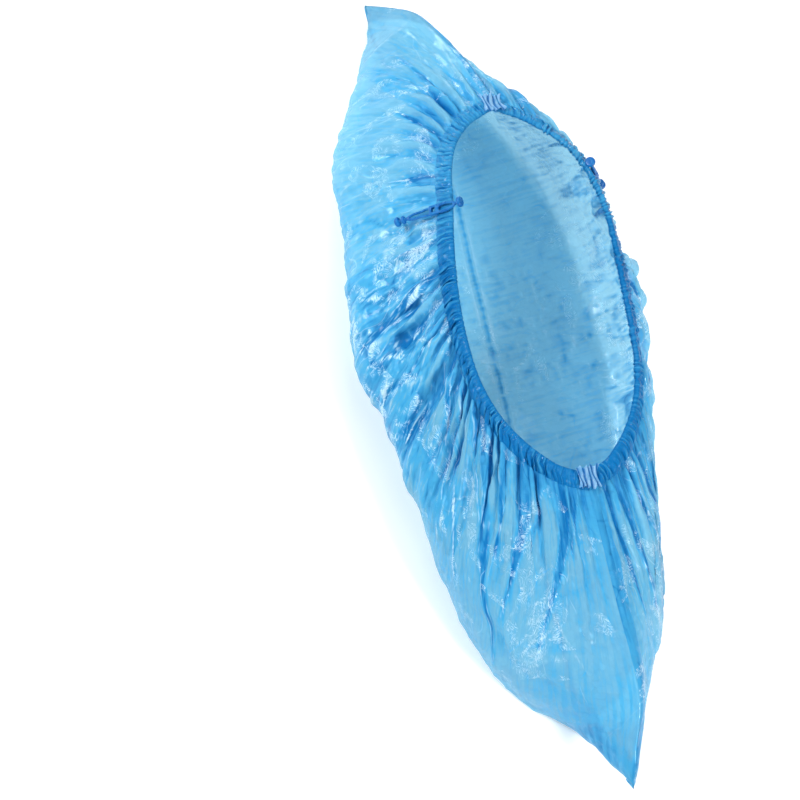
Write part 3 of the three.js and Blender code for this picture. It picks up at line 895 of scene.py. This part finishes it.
def film_measures(sheet, pleats):
    """How deep the film's colour is from its layers, with painted shade in some zones and at the front of the
    hem, and how crinkled it is, from 0 to 1.
    """
    share, depth = sheet.share[:, None], sheet.depth
    gathered = np.maximum(sheet.from_table(HEM_LAYERS_AND_SHADE) * (1 - ease(depth, *HEM_FADE)), pleats)
    taut = TAUT_GATHER * ease(share, 0.5, 0.72)
    gathered = np.maximum(np.maximum(gathered, sheet.double_and_shaded_zones()), taut)
    crinkle = sheet.from_table(CRINKLING) * (0.25 + 0.75 * ease(np.abs(sheet.up), 35, 70))
    crinkle = crinkle * (0.4 + 0.6 * ease(depth, 3, 16))
    over_toes = TOE_CRINKLING * np.exp(-((share - TOE_CRINKLE) / TOE_SPREAD) ** 2)
    return gathered, crinkle + over_toes * ease(depth, 30, 50) * (1 - ease(depth, 100, 125))


def film_piece(settings):
    """The film: settled, creased, hemmed around the elastic and with its welds folded over."""
    coarse, sheet = Sheet(), Sheet(finer=2)
    start = gathered_start(coarse)
    settled = settle(coarse, start)
    film = held_in(doubled(settled), sheet)
    fold_shade_and_layers, pleats = fold_depth(film, sheet.normals), sheet.pleats()
    keel = KEEL_DEPTH * np.exp(-np.abs(sheet.up) / KEEL_SPREAD)
    creases = (creased(sheet) + sheet.long_creases() + PLEAT_HEIGHT * pleats - keel) * sheet.near_weld
    film = press_under_clips(film + creases[..., None] * outward(film))
    film[..., 2] = np.maximum(film[..., 2], LOWEST)
    close_welds(film)

    patches = Patches()
    cut = np.stack([sheet.along, sheet.up], axis=2)
    gathered, crinkle = film_measures(sheet, pleats)
    # The fold depth paints shade into the folds' valleys, where layers also overlap; the bends paint shade in
    # crease bottoms and highlights along ridges
    measures = {"gathered": gathered, "fold_shade_and_layers": fold_shade_and_layers, "bend": bends(creases), "crinkle": crinkle}
    patches.add(film, cut, measures)
    casing(Rim(sheet), film, patches)
    normals, half = outward(film), slice(sheet.steps, None)
    for end, step in ((0, 1), (sheet.stations, -1)):
        rows = end + step * FLANGE_ROWS
        strip = film[rows, half] + FLANGE_STAND[:, None, None] * normals[rows, half]
        patches.add(strip[::step], cut[rows, half][::step], FLANGE_MEASURES)
    piece = patches.build("gathered_film")
    piece.data.materials.append(film_material(settings))
    return piece


# Shaders

class Value:
    """A shader socket that takes part in Python arithmetic."""

    def __init__(self, graph, socket):
        self.graph, self.socket = graph, socket

    def _math(self, operation, first, second):
        return self.graph.node("Math", {"operation": operation}, {0: first, 1: second})

    def __add__(self, other):
        return self._math("ADD", self, other)

    def __sub__(self, other):
        return self._math("SUBTRACT", self, other)

    def __mul__(self, other):
        return self._math("MULTIPLY", self, other)

    def __radd__(self, other):
        return self._math("ADD", other, self)

    def __rsub__(self, other):
        return self._math("SUBTRACT", other, self)

    def __rmul__(self, other):
        return self._math("MULTIPLY", other, self)

    def beside(self, output):
        """Another output of the same node."""
        return Value(self.graph, self.socket.node.outputs[output])


class Finish:
    """A material and the nodes of its finish."""

    def __init__(self, name):
        self.material = bpy.data.materials.new(name)
        self.material.use_nodes = True
        self.tree = self.material.node_tree
        self.tree.nodes.clear()

    def node(self, kind, settings=None, sockets=None, output=0):
        """Adds a node with its settings first, then its sockets' values or links, and gives one output."""
        node = self.tree.nodes.new("ShaderNode" + kind)
        for name, value in (settings or {}).items():
            setattr(node, name, value)
        for name, value in (sockets or {}).items():
            if isinstance(value, Value):
                self.tree.links.new(value.socket, node.inputs[name])
            else:
                node.inputs[name].default_value = value
        return Value(self, node.outputs[output])

    def object_place(self):
        """Object coordinates."""
        return self.node("TexCoord", output="Object")

    def cut_place(self):
        """Places on the flat cut of the film, in metres."""
        return self.node("UVMap", {"uv_map": "cut"})

    def attribute(self, name):
        """A measure that is kept on the mesh."""
        return self.node("Attribute", {"attribute_name": name}, output="Fac")

    def stretched(self, place, length, turn=0.0):
        """Places where a texture is drawn out across its X axis, after a turn in radians."""
        return self.node("Mapping", None, {
            "Vector": place, "Rotation": (0, 0, turn), "Scale": (1, 1 / length, 1)})

    def vector(self, operation, *sockets, output=0):
        """A vector from others by the given operation."""
        return self.node("VectorMath", {"operation": operation}, dict(enumerate(sockets)), output)

    def cells(self, place, scale, feature="F1", output="Color"):
        """A plane cut into cells: a random colour for each of them, or another measure of them."""
        return self.node("TexVoronoi", {"feature": feature, "voronoi_dimensions": "2D"},
                         {"Vector": place, "Scale": scale}, output)

    def crumple(self, cell, place):
        """Height of cells that are flat facets, each tilted its own way, as in crumpled film."""
        tilt = self.vector("SUBTRACT", cell, (0.5, 0.5, 0.5))
        away = self.vector("SUBTRACT", place, cell.beside("Position"))
        return self.vector("DOT_PRODUCT", tilt, away, output="Value")

    def noise(self, place, scale, detail=2.0, distortion=0.0, flat=False, output=0):
        """A noise value from 0 to 1, in the plane if it is flat."""
        return self.node("TexNoise", {"noise_dimensions": "2D" if flat else "3D"}, {
            "Vector": place, "Scale": scale, "Detail": detail, "Distortion": distortion}, output)

    def ramp(self, value, low, high):
        """0 below low, 1 above high and a smooth step between them."""
        return self.node("MapRange", {"interpolation_type": "SMOOTHSTEP"}, {
            "Value": value, "From Min": low, "From Max": high})

    def blend(self, share, first, second):
        """A colour between two colours."""
        return self.node("Mix", {"data_type": "RGBA"}, {0: share, 6: first, 7: second}, output=2)

    def colours(self, value, stops):
        """A colour that runs through the given stops as the value goes from 0 to 1."""
        colour = self.node("ValToRGB", None, {0: value})
        elements = colour.socket.node.color_ramp.elements
        while len(elements) < len(stops):
            elements.new(0.5)
        for element, (place, stop) in zip(elements, stops):
            element.position, element.color = place, stop
        return colour

    def bump(self, height, distance, strength=1.0):
        """A normal from a height."""
        return self.node("Bump", None, {"Height": height, "Distance": distance, "Strength": strength})

    def body(self, colour, roughness, normal, more=None):
        """The surface itself, with more sockets if they are given."""
        return self.node("BsdfPrincipled", None, {
            "Base Color": colour, "Roughness": roughness, "Normal": normal, **(more or {})})

    def film(self, body, glow, glow_share, tint, opacity):
        """A body as thin film: light glows through it, and tinted light comes straight through its rest."""
        glow = self.node("BsdfTranslucent", None, {"Color": glow})
        lit = self.node("MixShader", None, {0: glow_share, 1: body, 2: glow})
        through = self.node("BsdfTransparent", None, {"Color": tint})
        return self.node("MixShader", None, {0: opacity, 1: through, 2: lit})

    def end(self, surface):
        """Joins the surface to the output and gives the material."""
        output = self.tree.nodes.new("ShaderNodeOutputMaterial")
        self.tree.links.new(surface.socket, output.inputs["Surface"])
        return self.material


# Flat facets of the film that are crinkled or not, each with its own painted shade: cells to a metre, how
# much longer than wide and the turn in degrees, and the values between which a facet begins to be crinkled
FACETS = ((62, 2.0, 35), (130, 2.4, 110))
CRINKLED = 0.97, 1.06
# Small facets inside them, which tilt the film and turn its streaks: cells to a metre and the turn in radians
SMALL_FACETS, STREAK_TURN = 340, 2.4
# Fine streaks inside a crinkled facet, painted glints that are partly whitened creases: streaks to a metre
# and how much longer than wide they are
STREAKS, STREAK_LENGTH = 2500, 7.0
# Fine lines that are pulled down from the hem: lines to a metre and how much longer than wide they are
PULL_LINES, PULL_LENGTH = 430, 18
# Crease lines, some with painted shade and some with painted highlights: cells to a metre between them, their
# width as a share of a cell, how much longer than wide the cells are and the turn in radians, and the width
# of the lit lines as a share of the dark ones
CREASE_CELLS, CREASE_WIDTH, CREASE_LENGTH, CREASE_TURN, LIT_WIDTH = 62, 0.035, 2.5, 1.1, 0.6
# How much each measure deepens the film's colour, and its value where it leaves the colour as it is. Gathers
# deepen it as layers of film do, with painted shade in some zones and at the front of the hem; the folds'
# valleys, where layers overlap, the bottoms of creases, the dark crease lines and the facets' shade deepen it
# as painted shade
DEEPENING = {
    "gathered": (0.85, 0), "fold_shade_and_layers": (0.8, 0.5), "cloudy": (0.35, 0.5), "bend": (1.1, 0.5),
    "lines": (0.18, 0), "shade": (0.08, 1), "pull": (0.2, 0.45),
}
# Depth of one plain layer of film, and the depth at which two layers have their own colour
LAYER_DEPTH, DOUBLE_DEPTH = 0.05, 0.38


def film_material(settings):
    """Thin glossy film: tinted light comes through, folds are deeper from their layers and painted shade, and
    crinkled facets carry painted glints.
    """
    finish = Finish("blue_film")
    place, cut = finish.object_place(), finish.cut_place()
    gathered, fold_shade_and_layers, bend, crinkle = map(finish.attribute, ("gathered", "fold_shade_and_layers", "bend", "crinkle"))
    cloudy, faint = finish.noise(place, 22), finish.noise(place, 56, 1)

    small = finish.cells(cut, SMALL_FACETS)
    glint = finish.node("SeparateColor", None, {0: small})
    sway = (glint.beside("Blue") - 0.5) * STREAK_TURN
    broken = finish.ramp(finish.noise(cut, 100, flat=True), 0.32, 0.62) * (0.55 + 0.9 * glint)
    glints_and_whitening, shade = 0, 0
    for count, length, turn in FACETS:
        lay = finish.node("Mapping", {"vector_type": "TEXTURE"}, {
            "Vector": cut, "Rotation": (0, 0, math.radians(turn)), "Scale": (1, length, 1)})
        facet = finish.node("SeparateColor", None, {0: finish.cells(lay, count)})
        patch = finish.ramp(facet + crinkle * 0.25 + (0.5 - bend) * 0.4, *CRINKLED)
        turned = finish.node("VectorRotate", {"rotation_type": "Z_AXIS"}, {
            "Vector": cut, "Angle": facet.beside("Green") * math.tau + sway})
        streaks = finish.noise(finish.stretched(turned, STREAK_LENGTH), STREAKS, 1, flat=True)
        glints_and_whitening = glints_and_whitening + (finish.ramp(streaks, 0.4, 0.72) + 0.12) * patch
        # Each facet's own painted shade
        shade = shade + facet.beside("Blue")

    drift = finish.noise(cut, CREASE_CELLS, 1, flat=True, output="Color")
    bent = finish.vector("MULTIPLY_ADD", drift, (0.5 / CREASE_CELLS,) * 3,
                         finish.stretched(cut, CREASE_LENGTH, CREASE_TURN))
    edge = finish.cells(bent, CREASE_CELLS, "DISTANCE_TO_EDGE", "Distance")
    # Painted shade along some crease lines, and painted highlights along the lit lines
    lines = (1 - finish.ramp(edge, 0, CREASE_WIDTH)) * finish.ramp(faint, 0.47, 0.6)
    lit_lines = (1 - finish.ramp(edge, 0, LIT_WIDTH * CREASE_WIDTH)) * (1 - finish.ramp(faint, 0.4, 0.48))
    pulled = finish.noise(finish.stretched(cut, PULL_LENGTH), PULL_LINES, flat=True)
    measures = {
        "gathered": gathered, "fold_shade_and_layers": fold_shade_and_layers, "cloudy": cloudy, "bend": bend, "lines": lines,
        "shade": shade, "pull": finish.ramp(pulled, 0.36, 0.66),
    }
    deep = LAYER_DEPTH
    for name, (weight, level) in DEEPENING.items():
        deep = deep + (measures[name] - level) * weight

    # The film's layers and its painted shade take it through the same colours
    layers_and_shade = finish.colours(deep, (
        (0, settings.colour), (DOUBLE_DEPTH, settings.double_colour), (1, settings.deep_colour)))
    # Painted glints on crinkled facets, partly whitened creases, and painted highlights along ridges and lit
    # lines
    pale = (finish.ramp(glints_and_whitening * broken, 0.04, 1.2) * 0.74 + finish.ramp(0.5 - bend, 0.05, 0.3) * 0.5
            + lit_lines * crinkle * 0.35)
    colour = finish.blend(pale, layers_and_shade, settings.glint_and_whitening_colour)
    normal = finish.bump(finish.crumple(small, cut) * 0.3, 1.0)
    body = finish.body(colour, settings.roughness + 0.12 * cloudy + 0.2 * gathered, normal, {
        "IOR": 1.5, "Specular IOR Level": 0.24, "Specular Tint": (0.3, 0.75, 1.0, 1),
        "Coat Weight": 0.36 - 0.2 * gathered, "Coat Roughness": 0.05})
    opacity = settings.opacity + finish.ramp(deep, 0.04, 0.6) * 0.33 + pale * 0.2
    return finish.end(finish.film(body, settings.colour, 0.24 - deep * 0.2, settings.tint, opacity))


def elastic_material(settings):
    """Rubber thread with a fine twist and a chalky bloom."""
    finish = Finish("elastic_thread")
    place = finish.object_place()
    bloom = finish.ramp(finish.noise(place, 700, 3), 0.4, 0.75)
    colour = finish.blend(bloom * 0.5, settings.colour, settings.bloom_colour)
    normal = finish.bump(finish.noise(place, 1800), 0.0004, 0.4)
    return finish.end(finish.body(colour, 0.5 + 0.2 * bloom, normal))


def tab_material(settings):
    """Pale crumpled film of the tabs, a little see-through, with painted shade between the folds."""
    finish = Finish("pale_film")
    place = finish.object_place()
    cloudy = finish.ramp(finish.noise(place, 420, 3), 0.3, 0.75)
    pale = finish.blend(cloudy, settings.colour, settings.cloud_colour)
    # Painted shade between the folds
    colour = finish.blend(finish.ramp(finish.attribute("crest"), 0.1, 0.55), settings.gap_shade_colour, pale)
    normal = finish.bump(finish.noise(place, 900), 0.0006, 0.5)
    body = finish.body(colour, 0.24, normal, {"Specular IOR Level": 0.3})
    return finish.end(finish.film(body, settings.colour, 0.35, settings.tint, settings.opacity))


def clip_material(settings):
    """Moulded plastic with flow marks and a satin gloss."""
    finish = Finish("clip_plastic")
    place = finish.object_place()
    flow = finish.noise(place, 320, 3, distortion=0.6)
    colour = finish.blend(finish.ramp(flow, 0.35, 0.8) * 0.6, settings.colour, settings.flow_colour)
    normal = finish.bump(finish.noise(place, 1400), 0.0003, 0.25)
    return finish.end(finish.body(colour, 0.2 + 0.16 * flow, normal, {"Specular IOR Level": 0.3}))


def floor_material(settings):
    """Pale even floor that glows a little, as in a light tent."""
    finish = Finish("pale_floor")
    grain = finish.noise(finish.object_place(), 40, 3)
    colour = finish.blend(grain * 0.1, settings.floor_colour, settings.grain_colour)
    return finish.end(finish.node("BsdfPrincipled", None, {
        "Base Color": colour, "Roughness": 0.6, "Emission Color": (1, 1, 1, 1), "Emission Strength": 0.22}))


# Pieces

def only(*pieces):
    """Makes the given pieces the only ones that are selected, and the first of them the active one."""
    bpy.ops.object.select_all(action="DESELECT")
    for piece in pieces:
        piece.select_set(True)
    bpy.context.view_layer.objects.active = pieces[0]


def modified(piece, kind, **values):
    """Adds a modifier with the given values to the active piece and applies it."""
    modifier = piece.modifiers.new(kind.lower(), kind)
    for name, value in values.items():
        setattr(modifier, name, value)
    bpy.ops.object.modifier_apply(modifier=modifier.name)
    return piece


class COVER_OT_film(bpy.types.Operator):
    """Settle the film bag by cloth simulation, with its hem and folded welds"""
    bl_idname = "cover.film"
    bl_label = "Film bag"

    def execute(self, context):
        settings = context.scene.cover_film
        piece = film_piece(settings)
        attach(piece, "root")
        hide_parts("film_bag")
        return {"FINISHED"}


# Points round the elastic, and how much it swells and swings out in the hem's ruffles
ELASTIC_ROUND, ELASTIC_SWELL, ELASTIC_SWING = 10, 0.12, 0.15


def elastic_piece(settings):
    """The elastic as a closed thread that bunches a little with the hem."""
    rim = Rim(Sheet(finer=2))
    turn = np.linspace(0, 2 * np.pi, ELASTIC_ROUND, endpoint=False)
    radius = (settings.radius / MM * (1 + ELASTIC_SWELL * rim.beads))[:, None]
    middle = rim.elastic + (ELASTIC_SWING * rim.beads)[:, None] * rim.out
    points = (middle[:, None] + (radius * np.cos(turn))[..., None] * rim.out[:, None]
              + (radius * np.sin(turn))[..., None] * rim.up[:, None])
    faces = quads(np.pad(numbered(points), ((0, 1), (0, 1)), mode="wrap"))
    piece = mesh_object("elastic", points * MM, faces.tolist())
    with reshaped(piece.data) as shape:
        bmesh.ops.recalc_face_normals(shape, faces=shape.faces)
    piece.data.shade_smooth()
    piece.data.materials.append(elastic_material(settings))
    return piece


class COVER_OT_elastic(bpy.types.Operator):
    """Run the elastic round the opening, inside the hem"""
    bl_idname = "cover.elastic"
    bl_label = "Elastic"

    def execute(self, context):
        piece = elastic_piece(context.scene.cover_elastic)
        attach(piece, "root")
        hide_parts("elastic_band")
        return {"FINISHED"}


# Folds of a tab, their height in millimetres, and the points across a tab and up it
TAB_FOLDS, TAB_FOLD = 4.5, 1.5
TAB_GRID = 73, 25
# Seed of the first tab
TAB_SEED = 60


def tab_piece(name, seat, settings, seed):
    """A pleated tab: a strip of film pinched into folds over the hem, open and crumpled at its ends."""
    u, v = np.meshgrid(*(np.linspace(0, 1, count) for count in TAB_GRID), indexing="ij")
    width, height = settings.width / MM, settings.height / MM
    crest = ease(np.abs(((TAB_FOLDS * u + 0.3 * np.sin(3 * v + seed)) % 1) * 2 - 1), 0.05, 0.95)
    ragged = spline(np.random.default_rng(seed).normal(size=(14, 1)), u[:, 0])
    fan = 1 + 0.12 * (2 * v - 1) ** 2
    x = (u - 0.5) * width * fan + 0.4 * np.sin(5 * v + 9 * u)
    y = -0.58 * height + height * v + 0.45 * ragged * (2 * v - 1)
    z = 0.4 + TAB_FOLD * crest * (0.7 + 0.3 * np.cos(2 * np.pi * v)) + 0.35 * facets(9 * u, 9 * v, 2.2, seed)
    axes, place = seat
    points = (np.stack([x, y, z], axis=2) @ axes + place) * MM
    piece = mesh_object("pleated_" + name, points, quads(numbered(points))[:, TURNED].tolist())
    keep_measure(piece.data, "crest", crest.ravel())
    piece.data.shade_smooth()
    piece.data.materials.append(tab_material(settings))
    only(piece)
    return modified(piece, "SOLIDIFY", thickness=settings.wall, offset=0)


class COVER_OT_tabs(bpy.types.Operator):
    bl_idname = "cover.tabs"
    bl_label = "Tabs"

    def execute(self, context):
        settings, film = context.scene.cover_tab, context.scene.cover_film
        for seed, (name, seat) in enumerate(TAB_SEATS.items()):
            piece = tab_piece(name, seat, settings, TAB_SEED + seed)
            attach(piece, "root")
            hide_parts(name)
        return {"FINISHED"}


# A clip along Y, in millimetres: stops as radius, length and place, bars as radius and both ends, and loops
# as the bar's radius and the points of their right half
CLIP_STOPS = (2.5, 2.2, 6.5), (2.0, 1.5, -23.4), (2.3, 2.2, -26.6)
CLIP_BARS = (0.75, 5.8, 2.9), (0.8, -20.6, -26.0)
CLIP_LOOPS = (
    (0.72, ((0, 3.6), (1.25, 1.2), (1.75, -1.8), (1.3, -4.6), (0, -5.3))),
    (0.66, ((0, -20.9), (0.85, -19.4), (1.15, -14), (1.15, -9.4), (0, -8.7))),
)
# Its collar: the place along it, the width, length and height, the window's frame and the rounding
COLLAR_PLACE, COLLAR_SIZE, COLLAR_FRAME, COLLAR_ROUNDING = -7.2, (4.6, 4.4, 2.0), 1.25, 0.3


def disc(radius, length, along):
    """A rounded stop across the clip."""
    bpy.ops.mesh.primitive_cylinder_add(vertices=32, radius=radius * MM, depth=length * MM,
                                        location=(0, along * MM, 0), rotation=(math.pi / 2, 0, 0))
    return modified(bpy.context.object, "BEVEL", width=0.42 * length * MM, segments=4)


def bar(radius, start, end):
    """A round bar between two places along the clip."""
    bpy.ops.mesh.primitive_cylinder_add(vertices=16, radius=radius * MM, depth=(start - end) * MM,
                                        location=(0, (start + end) / 2 * MM, 0), rotation=(math.pi / 2, 0, 0))
    return bpy.context.object


def ring(radius, half):
    """A closed round bar in the clip's plane, through the points of its right half and their images."""
    points = [*half, *((-x, y) for x, y in half[-2:0:-1])]
    bpy.ops.curve.primitive_bezier_circle_add(radius=1)
    curve = bpy.context.object.data
    curve.dimensions = "3D"
    line = curve.splines[0]
    line.bezier_points.add(len(points) - len(line.bezier_points))
    for knot, (x, y) in zip(line.bezier_points, points):
        knot.co = (x * MM, y * MM, 0)
        knot.handle_left_type = knot.handle_right_type = "AUTO"
    curve.bevel_depth, curve.bevel_resolution, curve.resolution_u = radius * MM, 4, 10
    bpy.ops.object.convert(target="MESH")
    return bpy.context.object


def collar():
    """The square collar in the middle of the clip, with its window."""
    bpy.ops.mesh.primitive_cube_add(size=1, location=(0, COLLAR_PLACE * MM, 0),
                                    scale=[side * MM for side in COLLAR_SIZE])
    piece = bpy.context.object
    bpy.ops.object.transform_apply(location=False, rotation=False, scale=True)
    bpy.ops.object.mode_set(mode="EDIT")
    bpy.ops.mesh.select_all(action="DESELECT")
    shape = bmesh.from_edit_mesh(piece.data)
    for face in shape.faces:
        face.select = abs(face.normal.z) > 0.9
    bmesh.update_edit_mesh(piece.data)
    bpy.ops.mesh.inset(thickness=COLLAR_FRAME * MM)
    bpy.ops.mesh.bridge_edge_loops()
    bpy.ops.object.mode_set(mode="OBJECT")
    return modified(piece, "BEVEL", width=COLLAR_ROUNDING * MM, segments=2)


def clip_model(settings):
    """A moulded clip along Y: head, drop-shaped loop, square collar, two long bars and two end stops."""
    parts = [disc(*stop) for stop in CLIP_STOPS]
    parts += [bar(*ends) for ends in CLIP_BARS]
    parts += [ring(*loop) for loop in CLIP_LOOPS]
    parts.append(collar())
    only(*parts)
    bpy.ops.object.join()
    bpy.ops.object.transform_apply()
    piece = parts[0]
    modified(piece, "REMESH", mode="VOXEL", voxel_size=settings.moulding, use_smooth_shade=True)
    modified(piece, "SMOOTH", factor=0.5, iterations=4)
    piece.data.materials.clear()
    piece.data.materials.append(clip_material(settings))
    return piece


class COVER_OT_clips(bpy.types.Operator):
    """Mould a clip and set one on the hem at each side"""
    bl_idname = "cover.clips"
    bl_label = "Clips"

    def execute(self, context):
        bpy.ops.object.select_all(action="DESELECT")
        model = clip_model(context.scene.cover_clip)
        for name, seat in CLIP_SEATS.items():
            piece = bpy.data.objects.new("moulded_" + name, model.data.copy())
            context.collection.objects.link(piece)
            piece.data.name = piece.name
            piece.data.transform(seat_matrix(seat))
            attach(piece, "root")
            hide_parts(name)
        discard(model)
        return {"FINISHED"}


# The photograph's view: where the camera looks, in metres, and its angles in degrees
CAMERA_TARGET = Vector((-0.0598, 0.0118, 0.0197))
CAMERA_DISTANCE = 1.1
CAMERA_AZIMUTH, CAMERA_ELEVATION, CAMERA_ROLL = -51.46, 62.78, 41.98
CAMERA_LENS, CAMERA_SENSOR = 107.06, 36
# Lamps: place, size in metres and power in watts
LAMPS = (
    ((-1.05, 0.4, 0.85), 0.4, 15), ((0.5, -0.9, 1.0), 0.35, 15), ((0.1, 1.25, 0.5), 0.3, 6),
    ((0.0, 0.1, 1.7), 1.0, 6),
)
WORLD_LIGHT = 0.25
# Gap under the lowest point, in metres
FLOOR_GAP = 0.0002


def add_lamps(strength):
    """Hangs the lamps round the object, each turned to it."""
    for number, (place, size, power) in enumerate(LAMPS):
        lamp = bpy.data.lights.new("lamp_%d" % number, "AREA")
        lamp.size, lamp.energy = size, power * strength
        holder = bpy.data.objects.new(lamp.name, lamp)
        holder.location = place
        holder.rotation_euler = (-Vector(place)).to_track_quat("-Z", "Y").to_euler()
        bpy.context.collection.objects.link(holder)


def add_camera():
    """Sets the camera in the photograph's view."""
    azimuth, elevation, roll = map(math.radians, (CAMERA_AZIMUTH, CAMERA_ELEVATION, CAMERA_ROLL))
    back = Vector((math.sin(azimuth) * math.cos(elevation), -math.cos(azimuth) * math.cos(elevation),
                   math.sin(elevation)))
    right = Vector((0, 0, 1)).cross(back).normalized()
    upward = back.cross(right)
    axes = (right * math.cos(roll) + upward * math.sin(roll),
            upward * math.cos(roll) - right * math.sin(roll), back)
    camera = bpy.data.cameras.new("camera")
    camera.lens, camera.sensor_width = CAMERA_LENS, CAMERA_SENSOR
    holder = bpy.data.objects.new("camera", camera)
    holder.matrix_world = Matrix(axes).transposed().to_4x4()
    holder.matrix_world.translation = CAMERA_TARGET + back * CAMERA_DISTANCE
    bpy.context.collection.objects.link(holder)
    bpy.context.scene.camera = holder


class COVER_OT_stage(bpy.types.Operator):
    """Set up the floor, the studio light and the camera"""
    bl_idname = "cover.stage"
    bl_label = "Stage"

    def execute(self, context):
        settings, scene = context.scene.cover_stage, context.scene
        bpy.ops.object.select_all(action="DESELECT")
        bpy.ops.mesh.primitive_plane_add(size=settings.floor_size, location=(0, 0, CAD_BOX[0][2] - FLOOR_GAP))
        floor = context.object
        floor.name = "floor"
        floor.data.materials.append(floor_material(settings))
        add_lamps(settings.light)
        world = bpy.data.worlds.new("studio")
        world.use_nodes = True
        sky = world.node_tree.nodes["Background"]
        sky.inputs["Color"].default_value = (1, 1, 1, 1)
        sky.inputs["Strength"].default_value = WORLD_LIGHT
        scene.world = world
        add_camera()
        scene.view_settings.view_transform = "Standard"
        scene.cycles.max_bounces, scene.cycles.diffuse_bounces, scene.cycles.glossy_bounces = 5, 3, 2
        scene.cycles.caustics_reflective = scene.cycles.caustics_refractive = False
        return {"FINISHED"}


class COVER_PT_panel(bpy.types.Panel):
    """The shoe cover's settings and its pieces in the order they are made"""
    bl_label = "Shoe cover"
    bl_idname = "COVER_PT_panel"
    bl_space_type = "VIEW_3D"
    bl_region_type = "UI"
    bl_category = "Shoe cover"

    def draw(self, context):
        for operator, group in PANEL_ROWS:
            box = self.layout.box()
            box.operator(operator.bl_idname)
            settings = getattr(context.scene, group)
            for name in settings.__annotations__:
                box.prop(settings, name)


PANEL_ROWS = (
    (COVER_OT_stage, "cover_stage"), (COVER_OT_film, "cover_film"), (COVER_OT_elastic, "cover_elastic"),
    (COVER_OT_tabs, "cover_tab"), (COVER_OT_clips, "cover_clip"),
)
SETTINGS = {
    "cover_film": FilmSettings, "cover_elastic": ElasticSettings, "cover_tab": TabSettings,
    "cover_clip": ClipSettings, "cover_stage": StageSettings,
}
CLASSES = (*SETTINGS.values(), *(operator for operator, group in PANEL_ROWS), COVER_PT_panel)


def register():
    """Registers the classes and puts the settings on the scene."""
    for cls in CLASSES:
        bpy.utils.register_class(cls)
    for name, group in SETTINGS.items():
        setattr(bpy.types.Scene, name, bpy.props.PointerProperty(type=group))


def unregister():
    """Takes the settings and the classes away again."""
    for name in SETTINGS:
        delattr(bpy.types.Scene, name)
    for cls in reversed(CLASSES):
        bpy.utils.unregister_class(cls)


def main():
    """Makes the whole object."""
    register()
    bpy.ops.cover.stage()
    bpy.ops.cover.film()
    bpy.ops.cover.elastic()
    bpy.ops.cover.tabs()
    bpy.ops.cover.clips()


if __name__ == "__main__":
    main()
